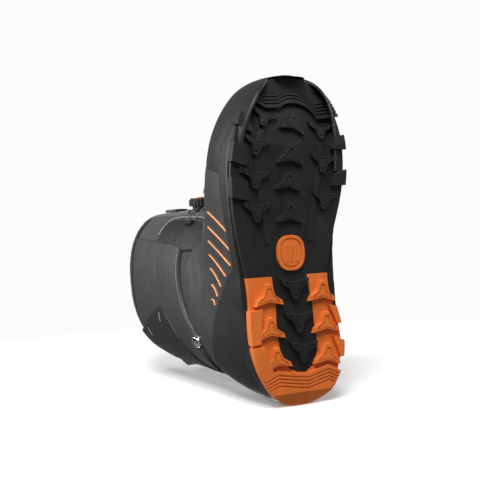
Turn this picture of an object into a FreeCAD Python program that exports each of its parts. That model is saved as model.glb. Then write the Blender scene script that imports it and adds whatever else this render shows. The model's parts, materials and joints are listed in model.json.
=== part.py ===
import FreeCAD, Part
import math
import os

# Snowboard boot, right foot.  Millimetres, +Z up, toe towards -Y, outer (lateral) side towards -X.
# The boot stands on its tread at z = 0 and the origin is the middle of its footprint.

os.makedirs("parts", exist_ok=True)
V = FreeCAD.Vector

# ---------------------------------------------------------------- driving dimensions
sole_length = 312.5          # toe tip to heel end of the sole
sole_width = 123.6           # widest place of the forefoot
boot_height = 304.0          # tread to the top of the collar at the front

lug_height = 4.6             # tread block depth
tread_base = 4.4             # rubber under the blocks
midsole_top = 19.0           # height of the foam's top face at the heel
rand_rise = 10.5             # rubber side wall above the foam at the forefoot
edge_step = 1.4              # how far the tread's plate stands in from its edge pads
rand_inset = 4.2             # wall between the side of the sole and the foam
board_thickness = 2.4
shank_thickness = 2.0
shank_width = 34.0
shank_length = 118.0

shell_thickness = 2.6        # base fabric and foam of the outer boot
panel_gap = 0.3              # glue line between the base shell and the panels on it
quarter_thickness = 1.3
cuff_thickness = 1.8
counter_thickness = 2.4
toe_cap_thickness = 1.9
stripe_rise = 0.9
stripe_width = 1.9
stripe_count = 7
seam_gap = 0.6               # open seam between neighbouring panels

liner_gap = 0.5
liner_thickness = 9.0
liner_sole = 5.0
liner_rise = 7.0             # how far the soft collar stands above the shell
collar_band = 16.0           # height of the liner's padded collar
footbed_thickness = 4.0
binding_height = 8.0
binding_bulge = 1.6

throat_half_bottom = 21.0    # half width of the throat at the vamp
throat_half_top = 30.0       # half width of the throat at the collar
tongue_gap = 1.0             # free play each side of the tongue
tongue_thickness = 2.6
pad_thickness = 6.0

dial_height = 198.0          # middle of the lace dial above the ground
housing_radius = 14.5
housing_wall = 2.2
knob_play = 0.8              # between the knob's skirt and the housing
knob_skirt = 2.9             # wall of the knob around the housing
dial_depth = 6.8
flange_lip = 5.0             # foot of the housing, around its wall
flange_thickness = 1.6
spool_clearance = 1.9        # between the spool's rims and the housing's wall
winding_depth = 5.4          # room for the wound cable under the spool's rims
spool_width = 3.4
spool_play = 0.3
ratchet_depth = 1.4
bush_rise = 2.4             # release bush above the housing
bush_flange = 1.0
axle_radius = 2.6
running_gap = 0.06           # radial play of everything that turns or slides on the axle
dial_travel = 2.5            # pull-out travel that frees the spool
knurl_count = 24
tooth_count = 24
pawl_count = 3
dial_radius = housing_radius + knob_play + knob_skirt
flange_radius = housing_radius + flange_lip
spool_flange = housing_radius - housing_wall - spool_clearance
spool_core = spool_flange - winding_depth

cable_radius = 0.9
cable_gap = 0.45             # play of the cable in its guides
guide_length = 13.0
guide_wall = 1.5

ring_height = 124.0          # ankle eyelet above the ground
ring_radius = 7.0
ring_hole = 3.6
loop_width = 17.0
loop_thickness = 1.8
loop_drop = 36.0
loop_depth = 9.5

# ---------------------------------------------------------------- grading
# Patterns are drawn for one size of boot and graded to the driving lengths above.
PATTERN_LENGTH = 312.5
PATTERN_WIDTH = 123.6
PATTERN_HEIGHT = 304.0
PATTERN_FOAM = 19.0          # height of the foam's top in the patterns
grade_x = sole_width / PATTERN_WIDTH
grade_y = sole_length / PATTERN_LENGTH
grade_z = (boot_height - midsole_top) / (PATTERN_HEIGHT - PATTERN_FOAM)


def gx(x):
    return x * grade_x


def gy(y):
    return y * grade_y


def gz(z):
    """Height above the foam grades with the boot's height; below it the sole keeps its own sizes."""
    if z <= PATTERN_FOAM:
        return z * midsole_top / PATTERN_FOAM
    return midsole_top + (z - PATTERN_FOAM) * grade_z


def polygon_prism_z(points, low, high):
    wire = Part.makePolygon([V(x, y, low) for x, y in points + points[:1]])
    return Part.Face(wire).extrude(V(0, 0, high - low))


def side_prism(points, x_low, x_high):
    """A closed outline drawn in the side view (y, z), carried across from x_low to x_high."""
    knots = [V(x_low, gy(y), gz(z)) for y, z in points]
    wire = Part.makePolygon(knots + knots[:1])
    return Part.Face(wire).extrude(V(x_high - x_low, 0, 0))


def box(x0, x1, y0, y1, z0, z1):
    return Part.makeBox(x1 - x0, y1 - y0, z1 - z0, V(x0, y0, z0))


# ---------------------------------------------------------------- sole outline and bands
OUTLINE = [
    (8, -152), (29, -149), (44, -139), (55, -118), (60, -90), (60.6, -62), (57, -36), (49, -9),
    (41.5, 17), (38, 40), (42, 66), (48, 88), (50.4, 108), (46, 130), (32, 151), (15, 159),
    (-2.5, 160.5), (-20, 156), (-35, 139), (-45, 116), (-49.5, 88), (-49.8, 62), (-52, 38),
    (-57, 11), (-61.4, -18), (-63, -48), (-60.4, -80), (-53, -104), (-38, -129), (-17, -146),
]


# The side wall leaves the tread at the waist, where the foot is wider than the ground contact.
WAIST_FLARE = {-36: 0.5, -9: 1.8, 17: 6.0, 40: 9.5, 66: 6.5, 88: 2.5, 62: -3.2, 38: -2.6, 11: -1.2}


def outline_wire(inset, flared=False):
    """The closed outline; inset moves each of its points inwards, square to the line of its neighbours."""
    flare = WAIST_FLARE if flared else {}
    line = [(gx(x + flare.get(y, 0)), gy(y)) for x, y in OUTLINE]
    points = []
    for k, (x, y) in enumerate(line):
        before = line[k - 1]
        after = line[(k + 1) % len(line)]
        dx, dy = after[0] - before[0], after[1] - before[1]
        length = math.hypot(dx, dy)
        points.append(V(x - inset * dy / length, y + inset * dx / length, 0))
    curve = Part.BSplineCurve()
    curve.interpolate(points, PeriodicFlag=True)
    return Part.Wire(curve.toShape())


def outline_prism(inset, low=-5.0, high=80.0, flared=False):
    face = Part.Face(outline_wire(inset, flared))
    face.translate(V(0, 0, low))
    return face.extrude(V(0, 0, high - low))


TREAD_CURVE = [(-175, 41), (-152, 25), (-140, 18.5), (-127, 11.5), (-113, 6.2), (-98, 2.2), (-84, 0)]
TREAD_REAR = [(148, 0), (161, 5.5), (175, 12)]
TOP_CURVE = [(-175, 58), (-152, 38.5), (-140, 31), (-127, 25.5), (-113, 21.5), (-98, 19.6), (-80, 19)]


def curve_edges(points, lift):
    knots = [V(0, gy(y), z + lift) for y, z in points]
    curve = Part.BSplineCurve()
    curve.interpolate(knots)
    return curve.toShape()


def tread_edges(lift):
    """The sole's underside in side view: sprung toe, flat middle, bevelled heel."""
    front = curve_edges(TREAD_CURVE, lift)
    rear = [V(0, gy(y), z + lift) for y, z in TREAD_REAR]
    middle = Part.makeLine(V(0, gy(TREAD_CURVE[-1][0]), lift), rear[0])
    return [front, middle, Part.makeLine(rear[0], rear[1]), Part.makeLine(rear[1], rear[2])]


def top_edges(lift):
    """The foam's top face in side view: flat with a sprung toe."""
    drop = midsole_top - PATTERN_FOAM
    front = curve_edges(TOP_CURVE, lift + drop)
    end = V(0, gy(175), midsole_top + lift)
    return [front, Part.makeLine(V(0, gy(TOP_CURVE[-1][0]), midsole_top + lift), end)]


def ends(edges):
    first = edges[0].Vertexes[0].Point
    last = edges[-1].Vertexes[-1].Point
    return first, last


def band(lower, upper, half=90.0):
    """The solid between two chains of side-view edges, carried across the boot."""
    low_first, low_last = ends(lower)
    up_first, up_last = ends(upper)
    sides = [Part.makeLine(low_first, up_first), Part.makeLine(low_last, up_last)]
    wire = Part.Wire(Part.__sortEdges__(lower + upper + sides))
    face = Part.Face(wire)
    face.translate(V(-half, 0, 0))
    return face.extrude(V(2 * half, 0, 0))


def flat_edges(z):
    return [Part.makeLine(V(0, gy(-175), z), V(0, gy(175), z))]


# ---------------------------------------------------------------- body form of the boot
# Each station is one ring.  kind "y": an upright plane at y; kind "fan": a plane through PIVOT turned by
# its angle from straight down towards the heel; kind "z": a level plane at z.
PIVOT = (-75.0, 175.0)
STATIONS = [
    # kind, place, top or front, bottom or back, x low, x high, height of widest place, squareness
    ("y", -149.5, 47, 27, 3, 16, 37, 2.0),
    ("y", -148.5, 62, 10, -10, 28, 36, 2.2),
    ("y", -142, 76, -10, -25, 38, 33, 2.4),
    ("y", -128, 87, -20, -38, 47, 31, 2.5),
    ("y", -110, 93, -20, -49, 53, 30, 2.5),
    ("y", -92, 98, -20, -56, 55.5, 30, 2.45),
    ("fan", 0, 71, 195, -59, 56.5, 143, 2.4),
    ("fan", 18, 60, 205, -57.5, 53, 145, 2.4),
    ("fan", 34, 50, 236, -53, 45.5, 165, 2.4),
    ("fan", 46, 46, 280, -49.5, 45, 190, 2.4),
    ("fan", 54, 45, 286, -47.5, 46, 190, 2.4),
    ("fan", 62, 45, 261, -48, 46.5, 175, 2.4),
    ("fan", 70, 45, 237, -49.5, 48, 160, 2.35),
    ("fan", 80, 45.5, 221, -51.5, 50, 145, 2.3),
    ("z", 175, -27.5, 142, -53, 51.5, 62, 2.3),
    ("z", 205, -27.5, 143, -55, 53.5, 60, 2.3),
    ("z", 235, -27.5, 142, -56.5, 55, 58, 2.3),
    ("z", 265, -27.5, 138.5, -58, 56, 56, 2.3),
    ("z", 295, -27, 134, -58.5, 56.5, 54, 2.3),
    ("z", 330, -26, 128, -59, 57, 52, 2.3),
]
RING_POINTS = 28


LEAST_HALF = 3.0             # the nose rings don't shrink below this half size


def ring(station, grow):
    """One ring of control points; grow moves it outwards in its own plane."""
    kind, place, near, far, x_low, x_high, middle, power = station
    if kind == "y":
        near, far, middle = -near, -far, -middle
    half_near = max(LEAST_HALF, middle - near + grow)
    half_far = max(LEAST_HALF, far - middle + grow)
    centre_x = gx((x_low + x_high) / 2)
    half_x = max(LEAST_HALF, gx((x_high - x_low) / 2) + grow)
    nose = max(0.0, (-place - 100.0) / 49.5) if kind == "y" else 0.0
    points = []
    for k in range(RING_POINTS):
        angle = 2 * math.pi * (k + 0.5) / RING_POINTS
        c = math.cos(angle)
        s = math.sin(angle)
        across = math.copysign(abs(s) ** (2 / power), s)
        along = math.copysign(abs(c) ** (2 / power), c)
        reach = middle - along * (half_near if along > 0 else half_far)
        x = centre_x + half_x * across
        if kind == "y":
            points.append(V(x, gy(place) - nose * grow, gz(-reach)))
        elif kind == "z":
            points.append(V(x, gy(reach), gz(place)))
        else:
            turn = math.radians(place)
            y = PIVOT[0] + reach * math.sin(turn)
            z = PIVOT[1] - reach * math.cos(turn)
            points.append(V(x, gy(y), gz(z)))
    return points


def form(grow):
    """The closed body of the boot, lofted smoothly through the rings."""
    rows = [ring(station, grow) for station in STATIONS]
    count = len(rows)
    surface = Part.BSplineSurface()
    spans = count - 3
    surface.buildFromPolesMultsKnots(
        rows,
        [4] + [1] * (spans - 1) + [4],
        [1] * (RING_POINTS + 1),
        [float(i) for i in range(spans + 1)],
        [float(i) for i in range(RING_POINTS + 1)],
        False,
        True,
        3,
        3,
    )
    side = surface.toShape()
    caps = []
    for edge in side.Edges:
        if edge.isClosed() and len(edge.Vertexes) == 1:
            caps.append(Part.Face(Part.Wire(edge)))
    shell = Part.makeShell([side] + caps)
    shell.sewShape()
    return Part.Solid(shell)


form_store = {}


def body(grow):
    key = round(grow, 3)
    if key not in form_store:
        form_store[key] = form(grow)
    return form_store[key]


skin_store = {}


def skin(outer, inner):
    """The even layer between two sizes of the body form."""
    key = (round(outer, 3), round(inner, 3))
    if key not in skin_store:
        skin_store[key] = body(outer).cut(body(inner))
    return skin_store[key]


def biggest(shape):
    """The main solid of a cut, without the crumbs beside it."""
    return max(shape.Solids, key=lambda solid: solid.Volume)


# ---------------------------------------------------------------- cutting volumes
COLLAR_FRONT = (-60.0, 307.5)
COLLAR_BACK = (170.0, 281.5)


def below_collar(lift):
    """Everything under the sloping collar plane, raised by lift."""
    slope = (COLLAR_BACK[1] - COLLAR_FRONT[1]) / (COLLAR_BACK[0] - COLLAR_FRONT[0])
    z_front = gz(COLLAR_FRONT[1] + slope * (-200 - COLLAR_FRONT[0])) + lift
    z_back = gz(COLLAR_FRONT[1] + slope * (220 - COLLAR_FRONT[0])) + lift
    points = [V(-90, gy(-200), -20), V(-90, gy(220), -20), V(-90, gy(220), z_back), V(-90, gy(-200), z_front)]
    return Part.Face(Part.makePolygon(points + points[:1])).extrude(V(180, 0, 0))


def above_foam(lift):
    return band(top_edges(lift), flat_edges(400.0))


VAMP_POINT = 106.0           # height of the throat's lower end, in the pattern
THROAT_BACK = 18.0           # the throat cut reaches back to this y, in the pattern


def throat(shrink, drop=0.0):
    """The opening down the front of the boot, seen from the front as a trapezium."""
    low = gz(VAMP_POINT) + shrink + drop
    high = 360.0
    half_low = throat_half_bottom - shrink
    half_high = throat_half_top - shrink
    points = [V(-half_low, gy(-200), low), V(half_low, gy(-200), low),
              V(half_high, gy(-200), high), V(-half_high, gy(-200), high)]
    length = gy(THROAT_BACK) - gy(-200)
    return Part.Face(Part.makePolygon(points + points[:1])).extrude(V(0, length, 0))


# ---------------------------------------------------------------- tread
# Outline of one block in its own frame: a nose, two arms with cut-off tips, hollow flanks.
STAR = [(-2.3, 11), (2.3, 11), (5.2, 1.8), (11.6, -2.2), (13.2, -6.5), (0, -3.2), (-13.2, -6.5),
        (-11.6, -2.2), (-5.2, 1.8)]
STAR_DRAFT = 1.1             # how far the foot of a block's wall stands out from its face
LINE_OUTER = 0.72            # the engraved line round the middle of a block, as shares of its outline
LINE_INNER = 0.63
LINE_DEPTH = 0.9
BELOW = 6.0                  # blocks are drawn this far through the tread surface, then trimmed by it


def star_wire(cx, cy, turn, scale, grow, z):
    """A block's outline at height z, turned about its middle; grow moves the points outwards."""
    points = []
    for x, y in STAR:
        reach = math.hypot(x, y) * scale + grow
        angle = math.atan2(y, x) + turn
        points.append(V(cx + reach * math.cos(angle), cy + reach * math.sin(angle), z))
    return Part.makePolygon(points + points[:1])


def tread_height(y):
    """Height of the sprung tread surface on the boot's middle line."""
    upright = Part.makeLine(V(0, y, -60), V(0, y, 120))
    return Part.Wire(tread_edges(0)).distToShape(upright)[1][0][0].z


def star_block(x, y, facing, turn_deg, scale):
    """One block with drafted walls and a line engraved round the middle of its face."""
    cx, cy = gx(x), gy(y)
    turn = math.radians(facing + turn_deg)
    face_z = tread_height(cy)
    above = lug_height + 1.0
    low = star_wire(cx, cy, turn, scale, -STAR_DRAFT * BELOW / lug_height, face_z - BELOW)
    high = star_wire(cx, cy, turn, scale, STAR_DRAFT * above / lug_height, face_z + above)
    block = Part.makeLoft([low, high], True, True)
    rise = V(0, 0, 4 * BELOW)
    outer = Part.Face(star_wire(cx, cy, turn, scale * LINE_OUTER, 0, face_z - 2 * BELOW)).extrude(rise)
    inner = Part.Face(star_wire(cx, cy, turn, scale * LINE_INNER, -0.3, face_z - 2 * BELOW)).extrude(rise)
    return block.cut(outer.cut(inner).common(line_band))


TO_HEEL = 0
TO_TOE = 180
# x, y, where the nose points, turn from there, size
FORE_LATERAL = [(-23.4, -110, TO_HEEL, 22, 0.9), (-35, -84.3, TO_HEEL, 14, 0.95),
                (-38, -54.2, TO_HEEL, 6, 1.0), (-38, -24.1, TO_HEEL, 2, 1.05)]
FORE_MEDIAL = [(34.6, -98.2, TO_HEEL, 6, 0.9), (34.9, -67.8, TO_HEEL, 6, 1.0), (34.4, -32.4, TO_HEEL, 6, 0.95)]
FORE_CENTRE = [(5.5, -102, TO_TOE, 18, 0.95), (-0.6, -72.1, TO_TOE, 6, 1.0), (-3.3, -47.2, TO_TOE, 7, 0.95),
               (-3.3, -17.6, TO_TOE, 4, 1.0)]
HEEL_CENTRE = [(-1.2, 48.9, TO_HEEL, 0, 1.12), (1.6, 79.9, TO_HEEL, 1, 1.12), (5.6, 108.4, TO_HEEL, 3, 1.12)]
HEEL_LATERAL = [(-29, 57.4, TO_TOE, 0, 1.1), (-28.4, 88.4, TO_TOE, 0, 1.1), (-22.6, 116.9, TO_TOE, -5, 1.1)]
HEEL_MEDIAL = [(28.2, 57.4, TO_TOE, 4, 1.08), (31.4, 87.4, TO_TOE, 2, 1.08), (31.5, 117.7, TO_TOE, 5, 1.08)]

# The bumpers' inner edges; a point marked "arc" is the middle of a round stretch.
TOE_LINE = [(-75, -156), (-41, -131), (-20.8, -118.3), (-5.7, -118.6), (13, -123.4, "arc"), (32.4, -107.7),
            (75, -113)]
HEEL_LINE = [(-75, 158), (-38, 131.4), (-22.5, 125.6), (-0.9, 129.4), (9, 130.8), (31.8, 125.4), (45, 132.5),
             (75, 148)]
GROOVE_START = 3.6
GROOVE_PITCH = 3.3
GROOVE_WIDTH = 1.1
GROOVE_DEPTH = 1.4
GROOVE_COUNT = 4
LOW, HIGH = -5.0, 60.0       # reach of the plan-view cutting prisms


def line_region(line, step, toward):
    """The sole on one side of a line across it; step moves the line along the boot."""
    points = [V(gx(p[0]), gy(p[1]) + step, LOW) for p in line]
    edges = []
    k = 0
    while k < len(points) - 1:
        if len(line[k + 1]) == 3:
            edges.append(Part.Arc(points[k], points[k + 1], points[k + 2]).toShape())
            k += 2
        else:
            edges.append(Part.makeLine(points[k], points[k + 1]))
            k += 1
    corners = [points[-1], V(points[-1].x, gy(toward), LOW), V(points[0].x, gy(toward), LOW), points[0]]
    for a, b in zip(corners, corners[1:]):
        edges.append(Part.makeLine(a, b))
    return Part.Face(Part.Wire(edges)).extrude(V(0, 0, HIGH - LOW))


def groove_cuts(line, direction):
    cuts = []
    for k in range(GROOVE_COUNT):
        step = GROOVE_START + k * GROOVE_PITCH
        near = line_region(line, direction * step, 200 * direction)
        far = line_region(line, direction * (step + GROOVE_WIDTH), 200 * direction)
        cuts.append(near.cut(far))
    return cuts


def plan_prism(points):
    return polygon_prism_z([(gx(x), gy(y)) for x, y in points], LOW, HIGH)


tread_band = band(tread_edges(0), tread_edges(lug_height + 0.2))
plate_band = band(tread_edges(lug_height), tread_edges(lug_height + tread_base))
full_band = band(tread_edges(0), tread_edges(lug_height + tread_base))
groove_band = band(tread_edges(-2), tread_edges(GROOVE_DEPTH))
line_band = band(tread_edges(-2), tread_edges(LINE_DEPTH))
plan = outline_prism(0)
plate_plan = outline_prism(edge_step)

HORSESHOE_FRONT = 38.2
CHANNEL = [(-24, 20), (13, 20), (13.5, 37.3), (16.3, 55), (18.6, 66.5), (19.6, 84), (21.6, 97.4), (22, 112),
           (16.5, 124.8), (8.1, 130.4), (-0.9, 129.4), (-9.6, 124.9), (-17.6, 110.6), (-19.4, 97.6),
           (-20.7, 82), (-20.5, 66), (-22, 53), (-23.7, 38.7)]
heel_region = box(-90, 90, gy(HORSESHOE_FRONT), gy(200), LOW, HIGH).cut(plan_prism(CHANNEL))

STRIP_WIDTH = 5.0
STRIP_RISE = 1.4
STRIPS = [
    [(-26, -98), (-31.5, -88), (-34.3, -72), (-34.6, -57), (-32.3, -32), (-29, -14), (-27.2, 7.5)],
    [(34, -98), (34, -85), (33, -74), (30, -52), (28, -44), (25, -31), (18, 7)],
]


def tread_strips():
    """Low ribs that tie the side blocks together, lying on the base plate."""
    low_band = band(tread_edges(lug_height - STRIP_RISE), tread_edges(lug_height + 0.2))
    strips = []
    for line in STRIPS:
        half = STRIP_WIDTH / 2
        left = [(gx(x) - half, gy(y)) for x, y in line]
        right = [(gx(x) + half, gy(y)) for x, y in reversed(line)]
        strips.append(polygon_prism_z(left + right, LOW, HIGH).common(low_band))
    return strips


def rubber(region, other, rows, pads, line, toward, extras=()):
    """A tread piece: thin base plate, blocks and pads down to the ground, grooved bumper."""
    plate = plate_plan.common(plate_band).common(region)
    bumper = plan.common(full_band).common(region).common(line_region(line, 0, 200 * toward))
    for cut in groove_cuts(line, toward):
        bumper = bumper.cut(cut.common(groove_band))
    pieces = [bumper] + list(extras)
    for row in rows:
        pieces.append(star_block(*row).common(tread_band).common(plan))
    for pad in pads:
        pieces.append(plan_prism(pad).common(full_band).common(plan).common(region))
    return biggest(plate.multiFuse(pieces).cut(plate_plan.common(plate_band).common(other)).removeSplitter())


fore_region = plan.cut(heel_region)
fore_pads = [
    [(-80, -134), (-41, -111), (-38.3, -94.2), (-80, -119)],
    [(-80, -94), (-46, -83), (-46.5, -64.4), (-80, -74.4)],
    [(-80, -59), (-47, -50.5), (-46.3, -32.7), (-80, -39.5)],
    [(45.1, -79.3), (48.7, -90.9), (80, -97), (80, -78)],
    [(42.6, -44.3), (46.3, -54.9), (80, -66), (80, -45)],
]
outsole = rubber(fore_region, heel_region, FORE_LATERAL + FORE_MEDIAL + FORE_CENTRE + HEEL_CENTRE, fore_pads,
                 TOE_LINE, -1, tread_strips())
heel_pads = [
    [(-80, 72.5), (-37.1, 67), (-39.6, 99), (-80, 104)],
    [(-80, 107), (-35.8, 101.5), (-27.4, 128), (-40, 133), (-80, 150)],
    [(34.6, 68.6), (80, 79), (80, 86), (43, 87)],
    [(38.3, 99), (80, 115), (80, 118), (45.7, 119.3)],
]
heel_pad = rubber(heel_region, fore_region, HEEL_LATERAL + HEEL_MEDIAL, heel_pads, HEEL_LINE, 1)

# the badge that sits proud in the waist
BADGE_X = -3.5
BADGE_Y = 17.0
BADGE_WIDTH = 29.0
BADGE_LENGTH = 33.0
BADGE_HEIGHT = 3.0
BADGE_SEAT = 1.2
BADGE_RIBS = 3


def badge_prism(shrink, low, high):
    points = []
    for k in range(40):
        a = 2 * math.pi * k / 40
        x = math.copysign(abs(math.cos(a)) ** 0.8, math.cos(a)) * (BADGE_WIDTH / 2 - shrink)
        y = math.copysign(abs(math.sin(a)) ** 0.8, math.sin(a)) * (BADGE_LENGTH / 2 - shrink)
        points.append(V(gx(BADGE_X) + x, gy(BADGE_Y) + y, low))
    curve = Part.BSplineCurve()
    curve.interpolate(points, PeriodicFlag=True)
    return Part.Face(Part.Wire(curve.toShape())).extrude(V(0, 0, high - low))


badge_low = lug_height - BADGE_HEIGHT
badge_high = lug_height + BADGE_SEAT
outsole = outsole.cut(badge_prism(-0.2, -5, badge_high + 0.1))
badge = badge_prism(0, badge_low, badge_high)
badge = badge.cut(badge_prism(3.0, badge_low - 1, badge_low + 0.9).cut(badge_prism(4.2, badge_low - 2, badge_low + 2)))
for k in range(BADGE_RIBS):
    rib_x = gx(BADGE_X) + (k - 1) * 5.0
    badge = badge.fuse(box(rib_x - 1, rib_x + 1, gy(BADGE_Y) - 8, gy(BADGE_Y) + 8, badge_low - 0.6, badge_low + 0.5))

# ---------------------------------------------------------------- foam, side wall, shank, board
foam_top = lug_height + tread_base
midsole = outline_prism(rand_inset).common(band(tread_edges(foam_top), top_edges(0)))
shank_box = box(gx(-3) - shank_width / 2, gx(-3) + shank_width / 2, gy(25) - shank_length / 2,
                gy(25) + shank_length / 2, midsole_top - shank_thickness, midsole_top + 5)
shank = shank_box.common(box(-90, 90, -200, 200, 0, midsole_top))
shank = shank.makeFillet(8.0, [e for e in shank.Edges if abs(e.tangentAt(e.FirstParameter).z) > 0.9])
midsole = midsole.cut(box(gx(-3) - shank_width / 2, gx(-3) + shank_width / 2, gy(25) - shank_length / 2,
                          gy(25) + shank_length / 2, midsole_top - shank_thickness, midsole_top + 5))

# Top edge of the side wall in side view: high at the toe and heel, low at the waist.
RAND_TOP = [(-175, 56), (-152, 49), (-140, 44), (-122, 37.5), (-100, 33), (-61, 29.5), (-20, 26), (8, 23),
            (28, 23.5), (55, 30), (88, 38), (115, 37), (140, 32), (175, 27)]
PATTERN_RISE = 10.5


def rand_edges(lift):
    extra = rand_rise - PATTERN_RISE + midsole_top - PATTERN_FOAM
    return [curve_edges(RAND_TOP, lift + extra)]


wide_plan = outline_prism(0, flared=True)
rand = wide_plan.common(band(tread_edges(foam_top), rand_edges(0)))
rand = rand.cut(outline_prism(rand_inset - 0.1).common(band(tread_edges(0), top_edges(0.1))))
rand = biggest(rand.cut(body(0.2).common(above_foam(0))))
board = biggest(body(-shell_thickness - 0.3).common(band(top_edges(0.2), top_edges(0.2 + board_thickness))))

# ---------------------------------------------------------------- outer boot shell and its panels
upper = skin(0, -shell_thickness).common(above_foam(0.2)).common(below_collar(-binding_height - 0.3))
upper = biggest(upper.cut(throat(0)))
binding = skin(binding_bulge, -shell_thickness - 0.2).common(below_collar(0)).cut(below_collar(-binding_height))
binding = biggest(binding.cut(throat(0)))

PANEL_EDGE = 0.35
above_rand = band(rand_edges(PANEL_EDGE), flat_edges(400.0))
TOE_SEAM = [(-220, 8), (-57, 8), (-60, 45), (-66, 70), (-80, 92), (-98, 112), (-220, 112)]
toe_cap = skin(panel_gap + toe_cap_thickness, panel_gap).common(side_prism(TOE_SEAM, -90, 90))
toe_cap = biggest(toe_cap.common(above_rand))

COUNTER = [(22, 10), (32, 32), (44, 47), (61, 67), (80, 79), (102, 88), (127, 99), (141, 104), (200, 98), (200, 10)]
CUFF_LOW = [(3, 161), (44, 162.5), (78, 149), (116, 126), (141, 116), (190, 110)]
QUARTER_TOP = [(-46, 96), (-26, 98), (-9, 107), (7.6, 131), (18.5, 144), (21, 158)]
WING = [(-60, 112), (-30, 112), (-14, 146), (9, 166), (9, 200), (4, 229), (-8, 230.5), (-60, 232)]
STAY = [(72, 200), (101, 263), (110, 290), (190, 290), (190, 118), (141, 134), (125, 147), (104, 172), (88, 186)]


def panel(outline, thickness, side, base=panel_gap):
    """A panel glued on the shell: the stretch of an outer skin inside a side-view outline."""
    low, high = (-90, -0.2) if side < 0 else (0.2, 90)
    piece = skin(base + thickness, base).common(side_prism(outline, low, high))
    return piece


counter = biggest(skin(panel_gap + counter_thickness, panel_gap).common(side_prism(COUNTER, -90, 90))
                  .common(above_rand))
counter_clear = side_prism(COUNTER, -90, 90)
for dy, dz in ((-seam_gap, 0), (0, seam_gap)):
    shifted = counter_clear.copy()
    shifted.translate(V(0, dy, dz))
    counter_clear = counter_clear.fuse(shifted)

QUARTER = [(-56.2, 8), (-59.2, 45), (-65.0, 70), (-74, 84)] + QUARTER_TOP
QUARTER += [(y, z - 0.7) for y, z in CUFF_LOW if y > 21] + [(190, 8)]
CUFF = CUFF_LOW + [(190, 340), (-14, 340), (-9, 300), (0, 255), (2, 215), (1.5, 190)]

quarters = {}
cuffs = {}
wings = {}
stripes = {}
collar_cut = below_collar(-binding_height - 0.4)
stay_shape = side_prism(STAY, -90, 90)
stay = skin(panel_gap + cuff_thickness, panel_gap).common(stay_shape).common(collar_cut)
stay = biggest(stay)
stay_clear = stay_shape.copy()
for dy, dz in ((-seam_gap, 0), (0, seam_gap), (0, -seam_gap)):
    shifted = stay_shape.copy()
    shifted.translate(V(0, dy, dz))
    stay_clear = stay_clear.fuse(shifted)

STRIPE_HEAD = [(-24.2, 69), (-9.5, 75), (4.6, 80.5), (18.2, 82), (31.9, 81), (47.9, 79.5), (62.5, 80.5)]
STRIPE_FOOT = [(-1, 19), (14, 19.5), (26.5, 25), (37.5, 38), (48.5, 53), (59, 65), (68, 73)]
STRIPE_BOW = 2.4             # how far the middle of a stripe bows from a straight line


def stripe(k, side):
    """One raised rib of piping, slanting down and back across the quarter."""
    y0, z0 = STRIPE_HEAD[k]
    y1, z1 = STRIPE_FOOT[k]
    length = math.hypot(y1 - y0, z1 - z0)
    ny = (z0 - z1) / length * stripe_width / 2
    nz = (y1 - y0) / length * stripe_width / 2
    bow_y = (y0 + y1) / 2 - (z0 - z1) / length * STRIPE_BOW
    bow_z = (z0 + z1) / 2 - (y1 - y0) / length * STRIPE_BOW
    outline = [(y0 + ny, z0 + nz), (bow_y + ny, bow_z + nz), (y1 + ny, z1 + nz),
               (y1 - ny, z1 - nz), (bow_y - ny, bow_z - nz), (y0 - ny, z0 - nz)]
    base = panel_gap + quarter_thickness + 0.05
    piece = panel(outline, stripe_rise, side, base)
    return piece.cut(counter_clear).common(above_rand)


for name, side in (("lateral", -1), ("medial", 1)):
    quarter = panel(QUARTER, quarter_thickness, side).common(above_rand).cut(counter_clear)
    quarters[name] = biggest(quarter.cut(throat(-1.0)).cut(stay_clear))
    cuff = panel(CUFF, cuff_thickness, side).common(collar_cut).cut(stay_clear)
    cuffs[name] = biggest(cuff)
    wing = panel(WING, quarter_thickness, side).cut(throat(-0.6))
    wings[name] = biggest(wing.cut(side_prism([(y - 0.6, z) for y, z in CUFF], -90, 90)).cut(
        side_prism([(y, z + 0.6) for y, z in QUARTER], -90, 90)))
    ribs = []
    for k in range(stripe_count):
        ribs += stripe(k, side).Solids
    stripes[name] = Part.makeCompound(ribs)

slot_places = [(87, 205.5, 30), (105.5, 247.5, 15)]
slots = []
for y, z, lean in slot_places:
    a = math.radians(lean)
    dy, dz = math.cos(a) * 5.5, math.sin(a) * 5.5
    ny, nz = -math.sin(a) * 1.8, math.cos(a) * 1.8
    outline = [(y - dy + ny, z - dz + nz), (y + dy + ny, z + dz + nz), (y + dy - ny, z + dz - nz),
               (y - dy - ny, z - dz - nz)]
    for side in (-1, 1):
        slots += panel(outline, 0.9, side, panel_gap + cuff_thickness + 0.05).Solids
slot_trims = Part.makeCompound(slots)


def skin_x(grow, y, z, side):
    """Where the outer skin stands at a given y and z, on one side of the boot."""
    line = Part.makeLine(V(side * 120, y, z), V(0, y, z))
    hit = line.common(body(grow))
    xs = [v.Point.x for v in hit.Vertexes]
    return max(xs) if side > 0 else min(xs)


def skin_y(grow, x, z):
    """Where the front of the boot stands at a given x and z."""
    line = Part.makeLine(V(x, -250, z), V(x, gy(20), z))
    hit = line.common(body(grow))
    return min(v.Point.y for v in hit.Vertexes)


ring_y = gy(108.0)
rings = []
for side in (-1, 1):
    wall = skin_x(0, ring_y, gz(ring_height), side)
    outer = Part.makeCylinder(ring_radius, 14, V(wall - side * 4, ring_y, gz(ring_height)), V(side, 0, 0))
    hole = Part.makeCylinder(ring_hole, 40, V(wall - side * 20, ring_y, gz(ring_height)), V(side, 0, 0))
    flat = Part.makeCylinder(ring_radius + 5, 20, V(wall + side * 4.6, ring_y, gz(ring_height)), V(side, 0, 0))
    eyelet = outer.cut(hole).cut(flat).cut(body(panel_gap + cuff_thickness + 0.1))
    rings.append(biggest(eyelet))
ankle_rings = Part.makeCompound(rings)

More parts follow.
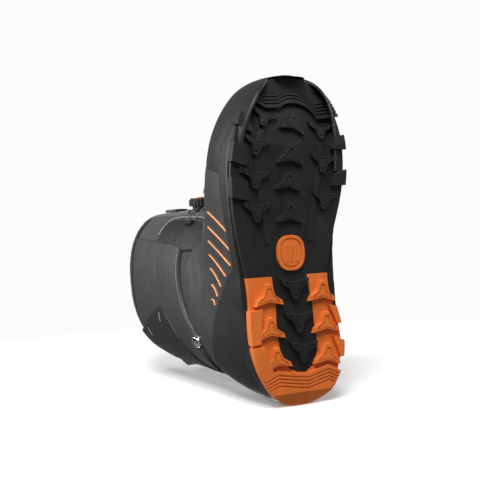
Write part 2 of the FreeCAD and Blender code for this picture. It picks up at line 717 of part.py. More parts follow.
# ---------------------------------------------------------------- liner and footbed
liner_out = -shell_thickness - liner_gap - 0.3
liner_in = liner_out - liner_thickness
floor_lift = 0.2 + board_thickness + 0.3
liner = body(liner_out).common(above_foam(floor_lift)).common(below_collar(-collar_band))
cavity = body(liner_in).common(above_foam(floor_lift + liner_sole))
liner = liner.cut(cavity)
liner_collar = skin(liner_out, liner_in).common(below_collar(liner_rise)).cut(below_collar(-collar_band + 0.3))
liner = biggest(liner.cut(throat(-0.5)))
liner_collar = biggest(liner_collar.cut(throat(-0.5)))
footbed_low = floor_lift + liner_sole + 0.2
footbed = body(liner_in - 0.4).common(above_foam(footbed_low)).cut(above_foam(footbed_low + footbed_thickness))
footbed = biggest(footbed)

# ---------------------------------------------------------------- tongue
tongue_drop = 3.0
tongue = skin(0.4, 0.4 - tongue_thickness).common(throat(tongue_gap, tongue_drop))
tongue = biggest(tongue.common(below_collar(liner_rise)))
pad_out = 0.4 - tongue_thickness - 0.3
pad = skin(pad_out, pad_out - pad_thickness).common(throat(tongue_gap + 1.5, tongue_drop + 10))
pad = biggest(pad.common(below_collar(liner_rise - 2)))
liner_tongue_out = pad_out - pad_thickness - 0.7
liner_tongue = skin(liner_tongue_out, liner_in - 2.0).common(throat(tongue_gap + 0.3, 2.0))
liner_tongue = biggest(liner_tongue.common(below_collar(liner_rise - 4)))

hinge_z = gz(VAMP_POINT) + tongue_gap + tongue_drop
hinge_y = skin_y(0.4, 0, hinge_z + 0.2)

# ---------------------------------------------------------------- lace dial
dial_z = gz(dial_height)
dial_seat = skin_y(0.4, 0, dial_z)
AXIS = V(0, -1, 0)


def turned(radius, start, end, hole=0.0):
    """A disc or tube on the dial's axis between two distances in front of the tongue."""
    solid = Part.makeCylinder(radius, end - start, V(0, dial_seat - start, dial_z), AXIS)
    if hole:
        solid = solid.cut(Part.makeCylinder(hole, end - start + 2, V(0, dial_seat - start + 1, dial_z), AXIS))
    return solid


housing_floor = flange_thickness
spool_low = housing_floor + spool_play
spool_high = spool_low + spool_width
housing_top = spool_high + ratchet_depth
cable_level = spool_low + spool_width / 2
flange = turned(flange_radius, -8, flange_thickness).cut(body(0.5))
wall = turned(housing_radius, 0.5, housing_top).cut(turned(housing_radius - housing_wall, housing_floor, 40))
post = turned(axle_radius, 0.5, housing_top + 3.6)
dial_base = biggest(flange.fuse(wall).fuse(post).cut(body(0.5)))
for side in (-1, 1):
    exit_hole = Part.makeCylinder(cable_radius + cable_gap, 40, V(side * (spool_flange + 0.3), dial_seat - cable_level,
                                  dial_z - 5), V(side, 0, 0))
    dial_base = dial_base.cut(exit_hole)
spool = turned(spool_core, spool_low, spool_high)
spool = spool.fuse(turned(spool_flange, spool_low, spool_low + 0.8))
spool = spool.fuse(turned(spool_flange, spool_high - 0.8, spool_high))
spool = spool.cut(turned(axle_radius + running_gap, 0, 40))
winding = []
for k in range(2):
    around = spool_core + cable_radius + 0.02 + k * 1.85 * cable_radius
    winding.append(Part.makeTorus(around, cable_radius * 0.9, V(0, dial_seat - cable_level, dial_z), AXIS))
lace_winding = Part.makeCompound(winding)

# ratchet ring in the housing's mouth and the pawl disc that the knob turns inside it
ratchet_low = spool_high + 0.3
ratchet_high = housing_top - 0.1
ratchet_outer = housing_radius - housing_wall - 0.05
ratchet_ring = turned(ratchet_outer, ratchet_low, ratchet_high, ratchet_outer - 1.0)
for k in range(tooth_count):
    a = 2 * math.pi * k / tooth_count
    tooth = box(-0.5, 0.5, dial_seat - ratchet_high, dial_seat - ratchet_low, dial_z + ratchet_outer - 1.8,
                dial_z + ratchet_outer - 0.6)
    tooth.rotate(V(0, dial_seat, dial_z), V(0, 1, 0), math.degrees(a))
    ratchet_ring = ratchet_ring.fuse(tooth)
pawl_radius = ratchet_outer - 2.2
pawl_top = housing_top + 0.55
pawl_disc = turned(pawl_radius - 1.6, ratchet_low, pawl_top, axle_radius + 1.9)
for k in range(pawl_count):
    arm = box(-1.1, 1.1, dial_seat - pawl_top, dial_seat - ratchet_low, dial_z + pawl_radius - 3.0,
              dial_z + pawl_radius)
    arm.rotate(V(0, dial_seat, dial_z), V(0, 1, 0), 360.0 * k / pawl_count)
    pawl_disc = pawl_disc.fuse(arm)

# release bush: slides out along the post; the knob turns on it
bush_top = housing_top + bush_rise
bush_flange_low = bush_top - bush_flange
bush = turned(axle_radius + 1.5, spool_high + 0.25, bush_top, axle_radius + running_gap)
bush = bush.fuse(turned(axle_radius + 3.0, bush_flange_low, bush_top, axle_radius + running_gap))
stop_low = bush_top + dial_travel + 0.15
stop_high = stop_low + 1.1
knob_low = housing_top + 0.6
knob_top = knob_low + dial_depth
knob = turned(dial_radius, cable_level + cable_radius + 0.7, knob_top)
knob = knob.cut(turned(housing_radius + knob_play, 0, knob_low))
knob = knob.cut(turned(axle_radius + 1.5 + running_gap, 0, bush_flange_low))
knob = knob.cut(turned(axle_radius + 3.0 + running_gap, bush_flange_low - running_gap, stop_high + 0.3))
knob = knob.cut(turned(dial_radius + 1, knob_top - 1.6, knob_top + 1).cut(turned(dial_radius - 1.6, 0, 60)))
for k in range(knurl_count):
    flute = Part.makeCylinder(1.5, 40, V(0, dial_seat + 5, dial_z + dial_radius + 0.5), AXIS)
    flute.rotate(V(0, dial_seat, dial_z), V(0, 1, 0), 360.0 * k / knurl_count)
    knob = knob.cut(flute)
knob_cap = turned(axle_radius + 5.6, knob_top + 0.1, knob_top + 1.3)
stop_ring = turned(axle_radius + 1.3, stop_low, stop_high, axle_radius - 0.9)
post_tip = turned(axle_radius - 0.9 - 0.02, bush_top, stop_high)
dial_base = biggest(dial_base.fuse(post_tip))

# ---------------------------------------------------------------- cable and its guides
def on_skin(x, z, grow):
    """A point on the boot's front, in the pattern's x and z, on the body form grown by that much."""
    return V(gx(x), skin_y(grow, gx(x), gz(z)), gz(z))


def rounded_path(points, radius_share=0.42):
    """Straight runs joined by tangent arcs as large as the runs allow."""
    edges = []
    start = points[0]
    for i in range(1, len(points) - 1):
        before = points[i - 1] - points[i]
        after = points[i + 1] - points[i]
        cut = radius_share * min(before.Length, after.Length)
        a = points[i] + V(before).normalize() * cut
        b = points[i] + V(after).normalize() * cut
        half = before.getAngle(after) / 2
        middle = V(before).normalize() + V(after).normalize()
        middle.normalize()
        radius = cut * math.tan(half)
        centre = points[i] + middle * (cut / math.cos(half))
        top = centre - middle * radius
        edges.append(Part.makeLine(start, a))
        edges.append(Part.Arc(a, top, b).toShape())
        start = b
    edges.append(Part.makeLine(start, points[-1]))
    return Part.Wire(edges)


def tube(points, radius):
    path = rounded_path(points)
    start = path.Edges[0]
    direction = start.tangentAt(start.FirstParameter)
    circle = Part.Wire(Part.makeCircle(radius, points[0], direction))
    return path.makePipeShell([circle], True, True)


# One cable: out of the housing, through an upper guide, across the tongue to the lower guide of the other
# side, round the throat's lower end and back the same way.  (x, z, how far the body form is grown)
CABLE_SIDE = [(23.5, 184.5, 4.2), (31.5, 176, 3.9), (36.5, 166.5, 3.7), (35.5, 156.5, 3.7), (28, 148.5, 4.2)]
CABLE_LOW = [(27.5, 129, 4.0), (34.5, 121, 3.7), (34, 111.5, 4.0), (22, 107, 5.4)]
UNDER, OVER = 4.0, 6.4

exit_point = V(housing_radius + 0.5, dial_seat - cable_level, dial_z - 5)
route = [V(-exit_point.x, exit_point.y, exit_point.z)]
route += [on_skin(-x, z, grow) for x, z, grow in CABLE_SIDE]
route += [on_skin(-10, 143, UNDER), on_skin(10, 136, UNDER)]
route += [on_skin(x, z, grow) for x, z, grow in CABLE_LOW]
route += [on_skin(-x, z, grow) for x, z, grow in reversed(CABLE_LOW)]
route += [on_skin(-10, 136, OVER), on_skin(10, 143, OVER)]
route += [on_skin(x, z, grow) for x, z, grow in reversed(CABLE_SIDE)]
route.append(exit_point)
cable = tube(route, cable_radius)
cable_bore = tube(route, cable_radius + cable_gap)
dial_base = biggest(dial_base.cut(cable_bore))
guide_solids = []
for i in (3, 9, 13, 19):
    a, b = route[i], route[i + 1]
    along = V(b - a).normalize()
    base = (a + b) * 0.5 - along * (guide_length / 2)
    block = Part.makeCylinder(cable_radius + cable_gap + guide_wall, guide_length, base, along)
    block = block.cut(body(panel_gap + quarter_thickness + 0.1)).cut(cable_bore)
    guide_solids.append(biggest(block))
cable_guides = Part.makeCompound(guide_solids)

# ---------------------------------------------------------------- pull loops
def loop(y_in, z_top, drop, depth, width, thick, lean):
    """A flat webbing loop seen from the side as a long ring, carried across its width."""
    outer = [(y_in, z_top), (y_in + depth * 0.75, z_top - 2.5), (y_in + depth, z_top - 9),
             (y_in + depth + lean, z_top - drop + 8), (y_in + depth * 0.7 + lean, z_top - drop + 1),
             (y_in + lean, z_top - drop)]
    wire = Part.makePolygon([V(-width / 2, y, z) for y, z in outer + outer[:1]])
    ring_wire = wire.makeOffset2D(-thick)
    face = Part.Face(wire).cut(Part.Face(ring_wire))
    return face.extrude(V(width, 0, 0))


def back_y(grow, z):
    """Where the back of the boot stands at a given height, on its middle line."""
    hit = Part.makeLine(V(0, gy(60), z), V(0, gy(220), z)).common(body(grow))
    return max(v.Point.y for v in hit.Vertexes)


stay_face = panel_gap + cuff_thickness
rear_loop_z = gz(286.0) - binding_height
anchor_thickness = 1.4
anchor_drop = 9.0
loop_play = 0.5
rear_loop_y = back_y(stay_face, rear_loop_z) + anchor_thickness + 2 * loop_play
loop_lean = back_y(stay_face, rear_loop_z - loop_drop) + anchor_thickness + 2 * loop_play - rear_loop_y
rear_loop = loop(rear_loop_y, rear_loop_z, loop_drop, loop_depth, loop_width, loop_thickness, loop_lean)
anchor_block = box(-loop_width / 2 - 2, loop_width / 2 + 2, rear_loop_y - 30, rear_loop_y + 10,
                   rear_loop_z - anchor_drop, rear_loop_z + 3)
loop_anchor = biggest(anchor_block.common(skin(stay_face + loop_play + anchor_thickness, stay_face + 0.1)))
front_tab_z = gz(300.0)
front_tab_y = skin_y(0.4, 0, front_tab_z)
front_strip = box(-8, 8, front_tab_y - 40, front_tab_y + 20, front_tab_z - 34, front_tab_z)
front_loop = biggest(front_strip.common(skin(0.7 + 2 * loop_thickness, 0.7)))

# ---------------------------------------------------------------- nodes
nodes = {
    "outsole": outsole,
    "heel_pad": heel_pad,
    "sole_badge": badge,
    "midsole": midsole,
    "rand": rand,
    "shank_plate": shank,
    "lasting_board": board,
    "upper_shell": upper,
    "collar_binding": binding,
    "toe_cap": toe_cap,
    "heel_counter": counter,
    "quarter_lateral": quarters["lateral"],
    "quarter_medial": quarters["medial"],
    "cuff_lateral": cuffs["lateral"],
    "cuff_medial": cuffs["medial"],
    "wing_lateral": wings["lateral"],
    "wing_medial": wings["medial"],
    "stripes_lateral": stripes["lateral"],
    "stripes_medial": stripes["medial"],
    "back_stay": stay,
    "slot_trims": slot_trims,
    "ankle_rings": ankle_rings,
    "liner_boot": liner,
    "liner_collar": liner_collar,
    "liner_tongue": liner_tongue,
    "footbed": footbed,
    "tongue_shell": tongue,
    "tongue_pad": pad,
    "tongue_pull": front_loop,
    "dial_base": dial_base,
    "spool": spool,
    "lace_winding": lace_winding,
    "ratchet_ring": ratchet_ring,
    "pawl_disc": pawl_disc,
    "release_bush": bush,
    "dial_knob": knob,
    "knob_cap": knob_cap,
    "stop_ring": stop_ring,
    "cable_guides": cable_guides,
    "lace_cable": cable,
    "rear_pull_loop": rear_loop,
    "loop_anchor": loop_anchor,
}

footprint = plan.optimalBoundingBox()
shift = V(-footprint.Center.x, -footprint.Center.y, 0)
for name, shape in nodes.items():
    shape.translate(shift)
    shape.exportStep("parts/" + name + ".step")
    size = shape.BoundBox
    print("%-16s solids %2d  valid %s  volume %9.1f  x %6.1f %6.1f  y %6.1f %6.1f  z %6.1f %6.1f" % (
        name, len(shape.Solids), shape.isValid(), shape.Volume, size.XMin, size.XMax, size.YMin, size.YMax,
        size.ZMin, size.ZMax))
print("shift", shift)
print("tongue hinge", V(0, hinge_y, hinge_z) + shift)
print("dial axis", V(0, dial_seat, dial_z) + shift)
print("rear loop hinge", V(0, rear_loop_y, rear_loop_z) + shift)
print("cable", [tuple(round(c, 2) for c in point + shift) for point in route])
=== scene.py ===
import json
import math
import bpy
import numpy as np
from mathutils import Matrix, Vector


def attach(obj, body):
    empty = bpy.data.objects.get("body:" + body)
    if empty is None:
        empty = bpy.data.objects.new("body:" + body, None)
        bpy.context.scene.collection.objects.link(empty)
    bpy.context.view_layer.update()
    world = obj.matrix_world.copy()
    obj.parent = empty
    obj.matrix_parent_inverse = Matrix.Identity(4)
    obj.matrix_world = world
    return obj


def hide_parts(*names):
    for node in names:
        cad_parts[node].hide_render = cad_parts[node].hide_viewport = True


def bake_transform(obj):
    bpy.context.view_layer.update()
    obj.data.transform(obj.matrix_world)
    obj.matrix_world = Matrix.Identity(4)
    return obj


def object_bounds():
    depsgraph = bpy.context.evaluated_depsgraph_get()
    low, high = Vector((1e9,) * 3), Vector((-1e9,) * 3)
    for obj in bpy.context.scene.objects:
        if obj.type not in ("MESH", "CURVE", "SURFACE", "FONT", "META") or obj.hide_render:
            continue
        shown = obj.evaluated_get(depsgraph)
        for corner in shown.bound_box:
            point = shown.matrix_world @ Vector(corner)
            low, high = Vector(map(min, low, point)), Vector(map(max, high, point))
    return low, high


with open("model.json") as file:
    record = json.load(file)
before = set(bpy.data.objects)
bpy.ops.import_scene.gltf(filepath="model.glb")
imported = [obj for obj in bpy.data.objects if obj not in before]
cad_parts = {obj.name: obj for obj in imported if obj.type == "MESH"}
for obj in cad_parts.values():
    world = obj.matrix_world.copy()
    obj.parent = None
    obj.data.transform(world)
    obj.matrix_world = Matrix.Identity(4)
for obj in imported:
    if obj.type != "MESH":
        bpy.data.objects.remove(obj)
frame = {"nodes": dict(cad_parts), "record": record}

CAD_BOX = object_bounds()
MM = 0.001


# ------------------------------------------------------------------ meshes from number fields
def grid_mesh(name, points, wrap_u=False, wrap_v=False):
    """A mesh whose vertex (i, j) is points[i, j] (metres); wraps join the last row or column to the first."""
    nu, nv = points.shape[:2]
    i = np.arange(nu if wrap_u else nu - 1)[:, None]
    j = np.arange(nv if wrap_v else nv - 1)[None, :]
    a = i * nv + j
    b = (i + 1) % nu * nv + j
    c = (i + 1) % nu * nv + (j + 1) % nv
    d = i * nv + (j + 1) % nv
    quads = np.stack([a, b, c, d], -1).reshape(-1, 4)
    return quad_mesh(name, points.reshape(-1, 3), quads)


def quad_mesh(name, points, quads):
    """A smooth-shaded mesh of four-sided faces."""
    mesh = bpy.data.meshes.new(name)
    mesh.from_pydata(points.tolist(), [], quads.tolist())
    mesh.validate()
    mesh.polygons.foreach_set("use_smooth", np.ones(len(mesh.polygons), bool))
    obj = bpy.data.objects.new(name, mesh)
    bpy.context.scene.collection.objects.link(obj)
    return obj


def resample(path, count, closed=False):
    """The path's points spaced evenly along it."""
    path = np.asarray(path, float)
    if closed:
        path = np.vstack([path, path[:1]])
    run = np.concatenate([[0], np.cumsum(np.linalg.norm(np.diff(path, axis=0), axis=1))])
    place = np.linspace(0, run[-1], count, endpoint=not closed)
    return np.stack([np.interp(place, run, path[:, k]) for k in range(path.shape[1])], 1)


def rounded(path, times=3):
    """The path with its corners cut off repeatedly, which tends to a smooth curve; its ends stay."""
    path = np.asarray(path, float)
    for _ in range(times):
        near = path[:-1] * 0.75 + path[1:] * 0.25
        far = path[:-1] * 0.25 + path[1:] * 0.75
        path = np.vstack([path[:1], np.stack([near, far], 1).reshape(-1, path.shape[1]), path[-1:]])
    return path


def tube(name, path, wide, tall=None, normals=None, sides=12, closed=False, strands=0, twist=0.0):
    """A tube along path (metres): cross-section an ellipse wide across and tall along the given normals;
    with strands, the radius ripples as cos(strands times the angle plus twist along the path)."""
    path = np.asarray(path, float)
    tall = wide if tall is None else tall
    if closed:
        ahead = np.roll(path, -1, 0) - np.roll(path, 1, 0)
    else:
        ahead = np.gradient(path, axis=0)
    ahead /= np.linalg.norm(ahead, axis=1)[:, None]
    if normals is None:
        normals = np.tile(np.array([0.31, -0.9, 0.29]), (len(path), 1))
    up = normals - ahead * np.sum(normals * ahead, 1)[:, None]
    up /= np.linalg.norm(up, axis=1)[:, None]
    out = np.cross(ahead, up)
    angle = np.linspace(0, 2 * np.pi, sides, endpoint=False)
    run = np.concatenate([[0], np.cumsum(np.linalg.norm(np.diff(path, axis=0), axis=1))])
    ripple = 1.0
    if strands:
        ripple = 1 + 0.1 * np.cos(strands * angle[None, :] + twist * run[:, None])
    taper = np.ones(len(path))
    if not closed:
        taper[0] = taper[-1] = 0.02
    size = (taper[:, None] * ripple)[..., None]
    points = path[:, None] + size * (np.cos(angle)[None, :, None] * out[:, None] * wide
                                     + np.sin(angle)[None, :, None] * up[:, None] * tall)
    return grid_mesh(name, points, wrap_u=closed, wrap_v=True)


# ------------------------------------------------------------------ stage, camera and light
def make_camera():
    """Looks at the sole from below and from the outer side, with the toe upwards."""
    data = bpy.data.cameras.new("camera")
    data.sensor_width = 36.0
    data.lens = 67.32
    data.clip_start = 0.01
    data.clip_end = 20.0
    right = Vector((0.89306, 0.04284, -0.44789))
    up = Vector((0.05020, -0.99873, 0.00456))
    back = Vector((-0.44712, -0.02656, -0.89408))
    turn = Matrix((right, up, back)).transposed().to_4x4()
    turn.translation = Vector((-0.41873, -0.02330, -0.72501))
    camera = bpy.data.objects.new("camera", data)
    bpy.context.scene.collection.objects.link(camera)
    camera.matrix_world = turn
    bpy.context.scene.camera = camera


def area_light(name, place, aim, size, power):
    """A soft square light at place, turned towards aim."""
    data = bpy.data.lights.new(name, "AREA")
    data.shape = "SQUARE"
    data.size = size
    data.energy = power
    lamp = bpy.data.objects.new(name, data)
    bpy.context.scene.collection.objects.link(lamp)
    lamp.location = place
    lamp.rotation_mode = "QUATERNION"
    lamp.rotation_quaternion = (Vector(aim) - Vector(place)).to_track_quat("-Z", "Y")


def one_sided_floor(name, centre, normal, reach, white):
    """A pale sheet seen only from the boot's side; it fades out into the pale world away from the boot."""
    n = Vector(normal)
    a = n.orthogonal().normalized()
    b = n.cross(a)
    c = Vector(centre)
    corners = [c + (a * i + b * j) * reach for i, j in ((-1, -1), (1, -1), (1, 1), (-1, 1))]
    mesh = bpy.data.meshes.new(name)
    mesh.from_pydata([tuple(p) for p in corners], [], [(0, 1, 2, 3)])
    if mesh.polygons[0].normal.dot(n) < 0:
        mesh.flip_normals()
    floor = bpy.data.objects.new(name, mesh)
    bpy.context.scene.collection.objects.link(floor)
    for ray in ("diffuse", "glossy", "transmission", "volume_scatter", "shadow"):
        setattr(floor, "visible_" + ray, False)
    mat = bpy.data.materials.new(name)
    mat.use_nodes = True
    tree = mat.node_tree
    tree.nodes.clear()
    out = tree.nodes.new("ShaderNodeOutputMaterial")
    mix = tree.nodes.new("ShaderNodeMixShader")
    sheet = tree.nodes.new("ShaderNodeBsdfDiffuse")
    sheet.inputs["Color"].default_value = (white, white, white, 1)
    clear = tree.nodes.new("ShaderNodeBsdfTransparent")
    side = tree.nodes.new("ShaderNodeNewGeometry")
    away = tree.nodes.new("ShaderNodeVectorMath")
    away.operation = "DISTANCE"
    away.inputs[1].default_value = tuple(c)
    fade = tree.nodes.new("ShaderNodeMapRange")
    fade.interpolation_type = "SMOOTHSTEP"
    fade.inputs["From Min"].default_value = 0.22
    fade.inputs["From Max"].default_value = 0.62
    more = tree.nodes.new("ShaderNodeMath")
    more.operation = "MAXIMUM"
    tree.links.new(side.outputs["Position"], away.inputs[0])
    tree.links.new(away.outputs["Value"], fade.inputs["Value"])
    tree.links.new(fade.outputs["Result"], more.inputs[0])
    tree.links.new(side.outputs["Backfacing"], more.inputs[1])
    tree.links.new(more.outputs[0], mix.inputs[0])
    tree.links.new(sheet.outputs[0], mix.inputs[1])
    tree.links.new(clear.outputs[0], mix.inputs[2])
    tree.links.new(mix.outputs[0], out.inputs["Surface"])
    mesh.materials.append(mat)


def pale_backdrop(centre, radius):
    """A large pale ball round everything, seen only by the view itself, so it lights nothing."""
    around = np.linspace(0, 2 * np.pi, 49)
    upward = np.linspace(-np.pi / 2, np.pi / 2, 25)
    turn, rise = np.meshgrid(around, upward, indexing="ij")
    points = np.stack([np.cos(turn) * np.cos(rise), np.sin(turn) * np.cos(rise), np.sin(rise)], -1) * radius
    ball = grid_mesh("backdrop", points + np.array(centre), wrap_u=False)
    for ray in ("diffuse", "glossy", "transmission", "volume_scatter", "shadow"):
        setattr(ball, "visible_" + ray, False)
    mat = bpy.data.materials.new("backdrop_white")
    mat.use_nodes = True
    tree = mat.node_tree
    tree.nodes.clear()
    out = tree.nodes.new("ShaderNodeOutputMaterial")
    glow = tree.nodes.new("ShaderNodeEmission")
    glow.inputs["Color"].default_value = (0.97, 0.97, 0.97, 1)
    tree.links.new(glow.outputs[0], out.inputs["Surface"])
    ball.data.materials.append(mat)


def make_stage():
    """Pale world, a pale floor under the tread, one under the back of the lying boot, and soft lights."""
    low, high = CAD_BOX
    middle = (low + high) / 2
    pale_backdrop(tuple(middle), 6.0)
    one_sided_floor("floor_standing", (middle.x, middle.y, -0.0006), (0, 0, 1), 1.6, 0.9)
    one_sided_floor("floor_lying", (middle.x, high.y + 0.0006, middle.z), (0, -1, 0), 1.6, 0.9)
    world = bpy.data.worlds.new("studio")
    bpy.context.scene.world = world
    world.use_nodes = True
    sky = world.node_tree.nodes["Background"]
    sky.inputs["Color"].default_value = (1, 1, 1, 1)
    sky.inputs["Strength"].default_value = 0.22
    aim = tuple(middle)
    area_light("key", (-0.55, -1.25, -0.75), aim, 0.8, 30)
    area_light("shaft_side", (-1.1, -0.35, 0.65), aim, 0.7, 16)
    area_light("rear", (0.7, 0.8, 0.8), aim, 0.9, 9)
    area_light("inner_side", (1.0, -0.5, 0.1), aim, 0.9, 9)
    bpy.context.scene.view_settings.view_transform = "Standard"
    bpy.context.scene.view_settings.look = "None"


# ------------------------------------------------------------------ the boot's body form (millimetres)
PIVOT = (-75.0, 175.0)
# kind, place, near, far, low x, high x, middle, power of each ring's superellipse; the nose rings lie across
# the boot, the fans turn about PIVOT and the upper ones are level
STATIONS = [
    ("y", -149.5, 47, 27, 3, 16, 37, 2.0), ("y", -148.5, 62, 10, -10, 28, 36, 2.2),
    ("y", -142, 76, -10, -25, 38, 33, 2.4), ("y", -128, 87, -20, -38, 47, 31, 2.5),
    ("y", -110, 93, -20, -49, 53, 30, 2.5), ("y", -92, 98, -20, -56, 55.5, 30, 2.45),
    ("fan", 0, 71, 195, -59, 56.5, 143, 2.4), ("fan", 18, 60, 205, -57.5, 53, 145, 2.4),
    ("fan", 34, 50, 236, -53, 45.5, 165, 2.4), ("fan", 46, 46, 280, -49.5, 45, 190, 2.4),
    ("fan", 54, 45, 286, -47.5, 46, 190, 2.4), ("fan", 62, 45, 261, -48, 46.5, 175, 2.4),
    ("fan", 70, 45, 237, -49.5, 48, 160, 2.35), ("fan", 80, 45.5, 221, -51.5, 50, 145, 2.3),
    ("z", 175, -27.5, 142, -53, 51.5, 62, 2.3), ("z", 205, -27.5, 143, -55, 53.5, 60, 2.3),
    ("z", 235, -27.5, 142, -56.5, 55, 58, 2.3), ("z", 265, -27.5, 138.5, -58, 56, 56, 2.3),
    ("z", 295, -27, 134, -58.5, 56.5, 54, 2.3), ("z", 330, -26, 128, -59, 57, 52, 2.3),
]
RING_POINTS = 28
SHIFT = np.array([1.0754460531570516, -4.17397923604544, 0.0])


def ring(station, grow):
    """Control points of one ring: a superellipse about its own middle, grown outwards in its plane."""
    kind, place, near, far, x_low, x_high, middle, power = station
    if kind == "y":
        near, far, middle = -near, -far, -middle
    angle = 2 * np.pi * (np.arange(RING_POINTS) + 0.5) / RING_POINTS
    c, s = np.cos(angle), np.sin(angle)
    across = np.sign(s) * np.abs(s) ** (2 / power)
    along = np.sign(c) * np.abs(c) ** (2 / power)
    reach = middle - along * np.where(along > 0, middle - near + grow, far - middle + grow)
    x = (x_low + x_high) / 2 + ((x_high - x_low) / 2 + grow) * across
    if kind == "y":
        nose = max(0.0, (-place - 100.0) / 49.5)
        return np.stack([x, np.full_like(x, place - nose * grow), -reach], 1)
    if kind == "z":
        return np.stack([x, reach, np.full_like(x, place)], 1)
    turn = math.radians(place)
    return np.stack([x, PIVOT[0] + reach * math.sin(turn), PIVOT[1] - reach * math.cos(turn)], 1)


def cubic(knots, count, t):
    """Cubic B-spline basis values: rows of t, columns of poles, by the Cox-de Boor recursion."""
    t = np.asarray(t, float)[:, None]
    k = np.asarray(knots, float)
    basis = ((t >= k[None, :-1]) & (t < k[None, 1:])).astype(float)
    last = np.nonzero(k[:-1] < k[1:])[0][-1]
    basis[:, last] = np.where(t[:, 0] >= k[last + 1], 1.0, basis[:, last])
    for p in (1, 2, 3):
        low = k[p:-1] - k[:-p - 1]
        high = k[p + 1:] - k[1:-p]
        a = np.where(low > 0, (t - k[None, :-p - 1]) / np.where(low > 0, low, 1), 0) * basis[:, :-1]
        b = np.where(high > 0, (k[None, p + 1:] - t) / np.where(high > 0, high, 1), 0) * basis[:, 1:]
        basis = a + b
    return basis[:, :count]


def surface(s, t, grow=0.0):
    """Points of the body form at station parameter s (0..17) and ring parameter t (0..28)."""
    s, t = np.broadcast_arrays(np.asarray(s, float), np.asarray(t, float))
    shape = s.shape
    rows = np.stack([ring(station, grow) for station in STATIONS])
    count = len(STATIONS)
    spans = count - 3
    knots = [0, 0, 0] + list(range(spans + 1)) + [spans] * 3
    along = cubic(knots, count, np.clip(s.ravel(), 0, spans))
    turn = np.mod(t.ravel(), RING_POINTS)
    first = np.floor(turn).astype(int)
    f = turn - first
    # the four weights of an even cubic B-spline that runs round the ring
    second = 3 * f ** 3 - 6 * f ** 2 + 4
    third = -3 * f ** 3 + 3 * f ** 2 + 3 * f + 1
    weights = np.stack([(1 - f) ** 3, second, third, f ** 3], 1) / 6
    points = np.zeros((len(turn), 3))
    for j in range(4):
        column = rows[:, (first + j) % RING_POINTS, :]
        points += np.einsum("mn,nmc->mc", along, column) * weights[:, j:j + 1]
    return points.reshape(shape + (3,)) + SHIFT


# ------------------------------------------------------------------ finding places on the body form
LATERAL = (12.5, 26.5)
MEDIAL = (12.5, -1.5)
MIDDLE_BACK = 12.5


def on_form(side, line):
    """Form parameters (s, t) on one side of points given in side view (y, z, pattern millimetres): the
    nearest point of a grid of the form, searched again four times on smaller grids."""
    goal = np.asarray(line, float) + SHIFT[1:]
    s_mid = np.full(len(goal), 8.5)
    t_mid = np.full(len(goal), (side[0] + side[1]) / 2)
    s_reach, t_reach = 8.5, abs(side[1] - side[0]) / 2
    steps = np.linspace(-1, 1, 31)
    for _ in range(5):
        s = np.clip(s_mid[:, None, None] + steps[None, :, None] * s_reach, 0, 17)
        t = t_mid[:, None, None] + steps[None, None, :] * t_reach
        s, t = np.broadcast_arrays(s, np.clip(t, min(side), max(side)))
        points = surface(s, t)
        miss = np.sum((points[..., 1:] - goal[:, None, None]) ** 2, -1).reshape(len(goal), -1)
        best = np.argmin(miss, 1)
        rows = np.arange(len(goal))
        s_mid = s.reshape(len(goal), -1)[rows, best]
        t_mid = t.reshape(len(goal), -1)[rows, best]
        s_reach *= 0.14
        t_reach *= 0.14
    return np.stack([s_mid, t_mid], 1)


def patch(name, curves, lift, rim=2.2, tuck=0.8, puff=0.0, across=70, along=120, bumps=None):
    """A panel on the body form, ruled between curves of (s, t). Inside, it stands lift over the form. Towards
    its edge it rolls down to -tuck along a quarter circle rim wide, and a broad puff swells its middle."""
    even = [resample(curve, along) for curve in curves]
    stack = np.stack(even)
    place = np.linspace(0, len(curves) - 1, across)
    low = np.clip(np.floor(place).astype(int), 0, len(curves) - 2)
    part = (place - low)[:, None, None]
    st = stack[low] * (1 - part) + stack[low + 1] * part
    flat = surface(st[..., 0], st[..., 1])
    across_run = run_length(flat, 0)
    along_run = run_length(flat, 1)
    edge = np.minimum(np.minimum(across_run, across_run[-1:] - across_run),
                      np.minimum(along_run, along_run[:, -1:] - along_run))
    roll = np.sqrt(np.clip(1 - (1 - np.clip(edge / rim, 0, 1)) ** 2, 0, 1))
    height = -tuck + (lift + tuck) * roll + puff * np.clip(edge / 26.0, 0, 1) ** 0.7
    if bumps is not None:
        height = height + bumps(flat) * np.clip(edge / 6, 0, 1)
    shell = surface(st[..., 0], st[..., 1], 0.0)
    normal = np.cross(np.gradient(shell, axis=0), np.gradient(shell, axis=1))
    normal /= np.maximum(np.linalg.norm(normal, axis=-1, keepdims=True), 1e-9)
    outward = surface(st[..., 0], st[..., 1], 1.0) - shell
    flip = np.where(np.sum(normal * outward, -1).mean() < 0, -1.0, 1.0)
    points = (shell + normal * flip * height[..., None]) * MM
    if flip < 0:
        points = points[::-1]
    return grid_mesh(name, points)


def run_length(points, axis):
    """Length along one direction of a grid of points, starting from zero at its first row."""
    step = np.linalg.norm(np.diff(points, axis=axis), axis=-1)
    run = np.cumsum(step, axis=axis)
    return np.concatenate([np.zeros_like(np.take(run, [0], axis=axis)), run], axis)


def crowded(curves):
    """Adds a curve just inside the first and the last one, so that a panel's rolled rim gets its own rows."""
    first, second, last, before = curves[0], curves[1], curves[-1], curves[-2]
    return [first, first * 0.96 + second * 0.04] + list(curves[1:-1]) + [last * 0.96 + before * 0.04, last]


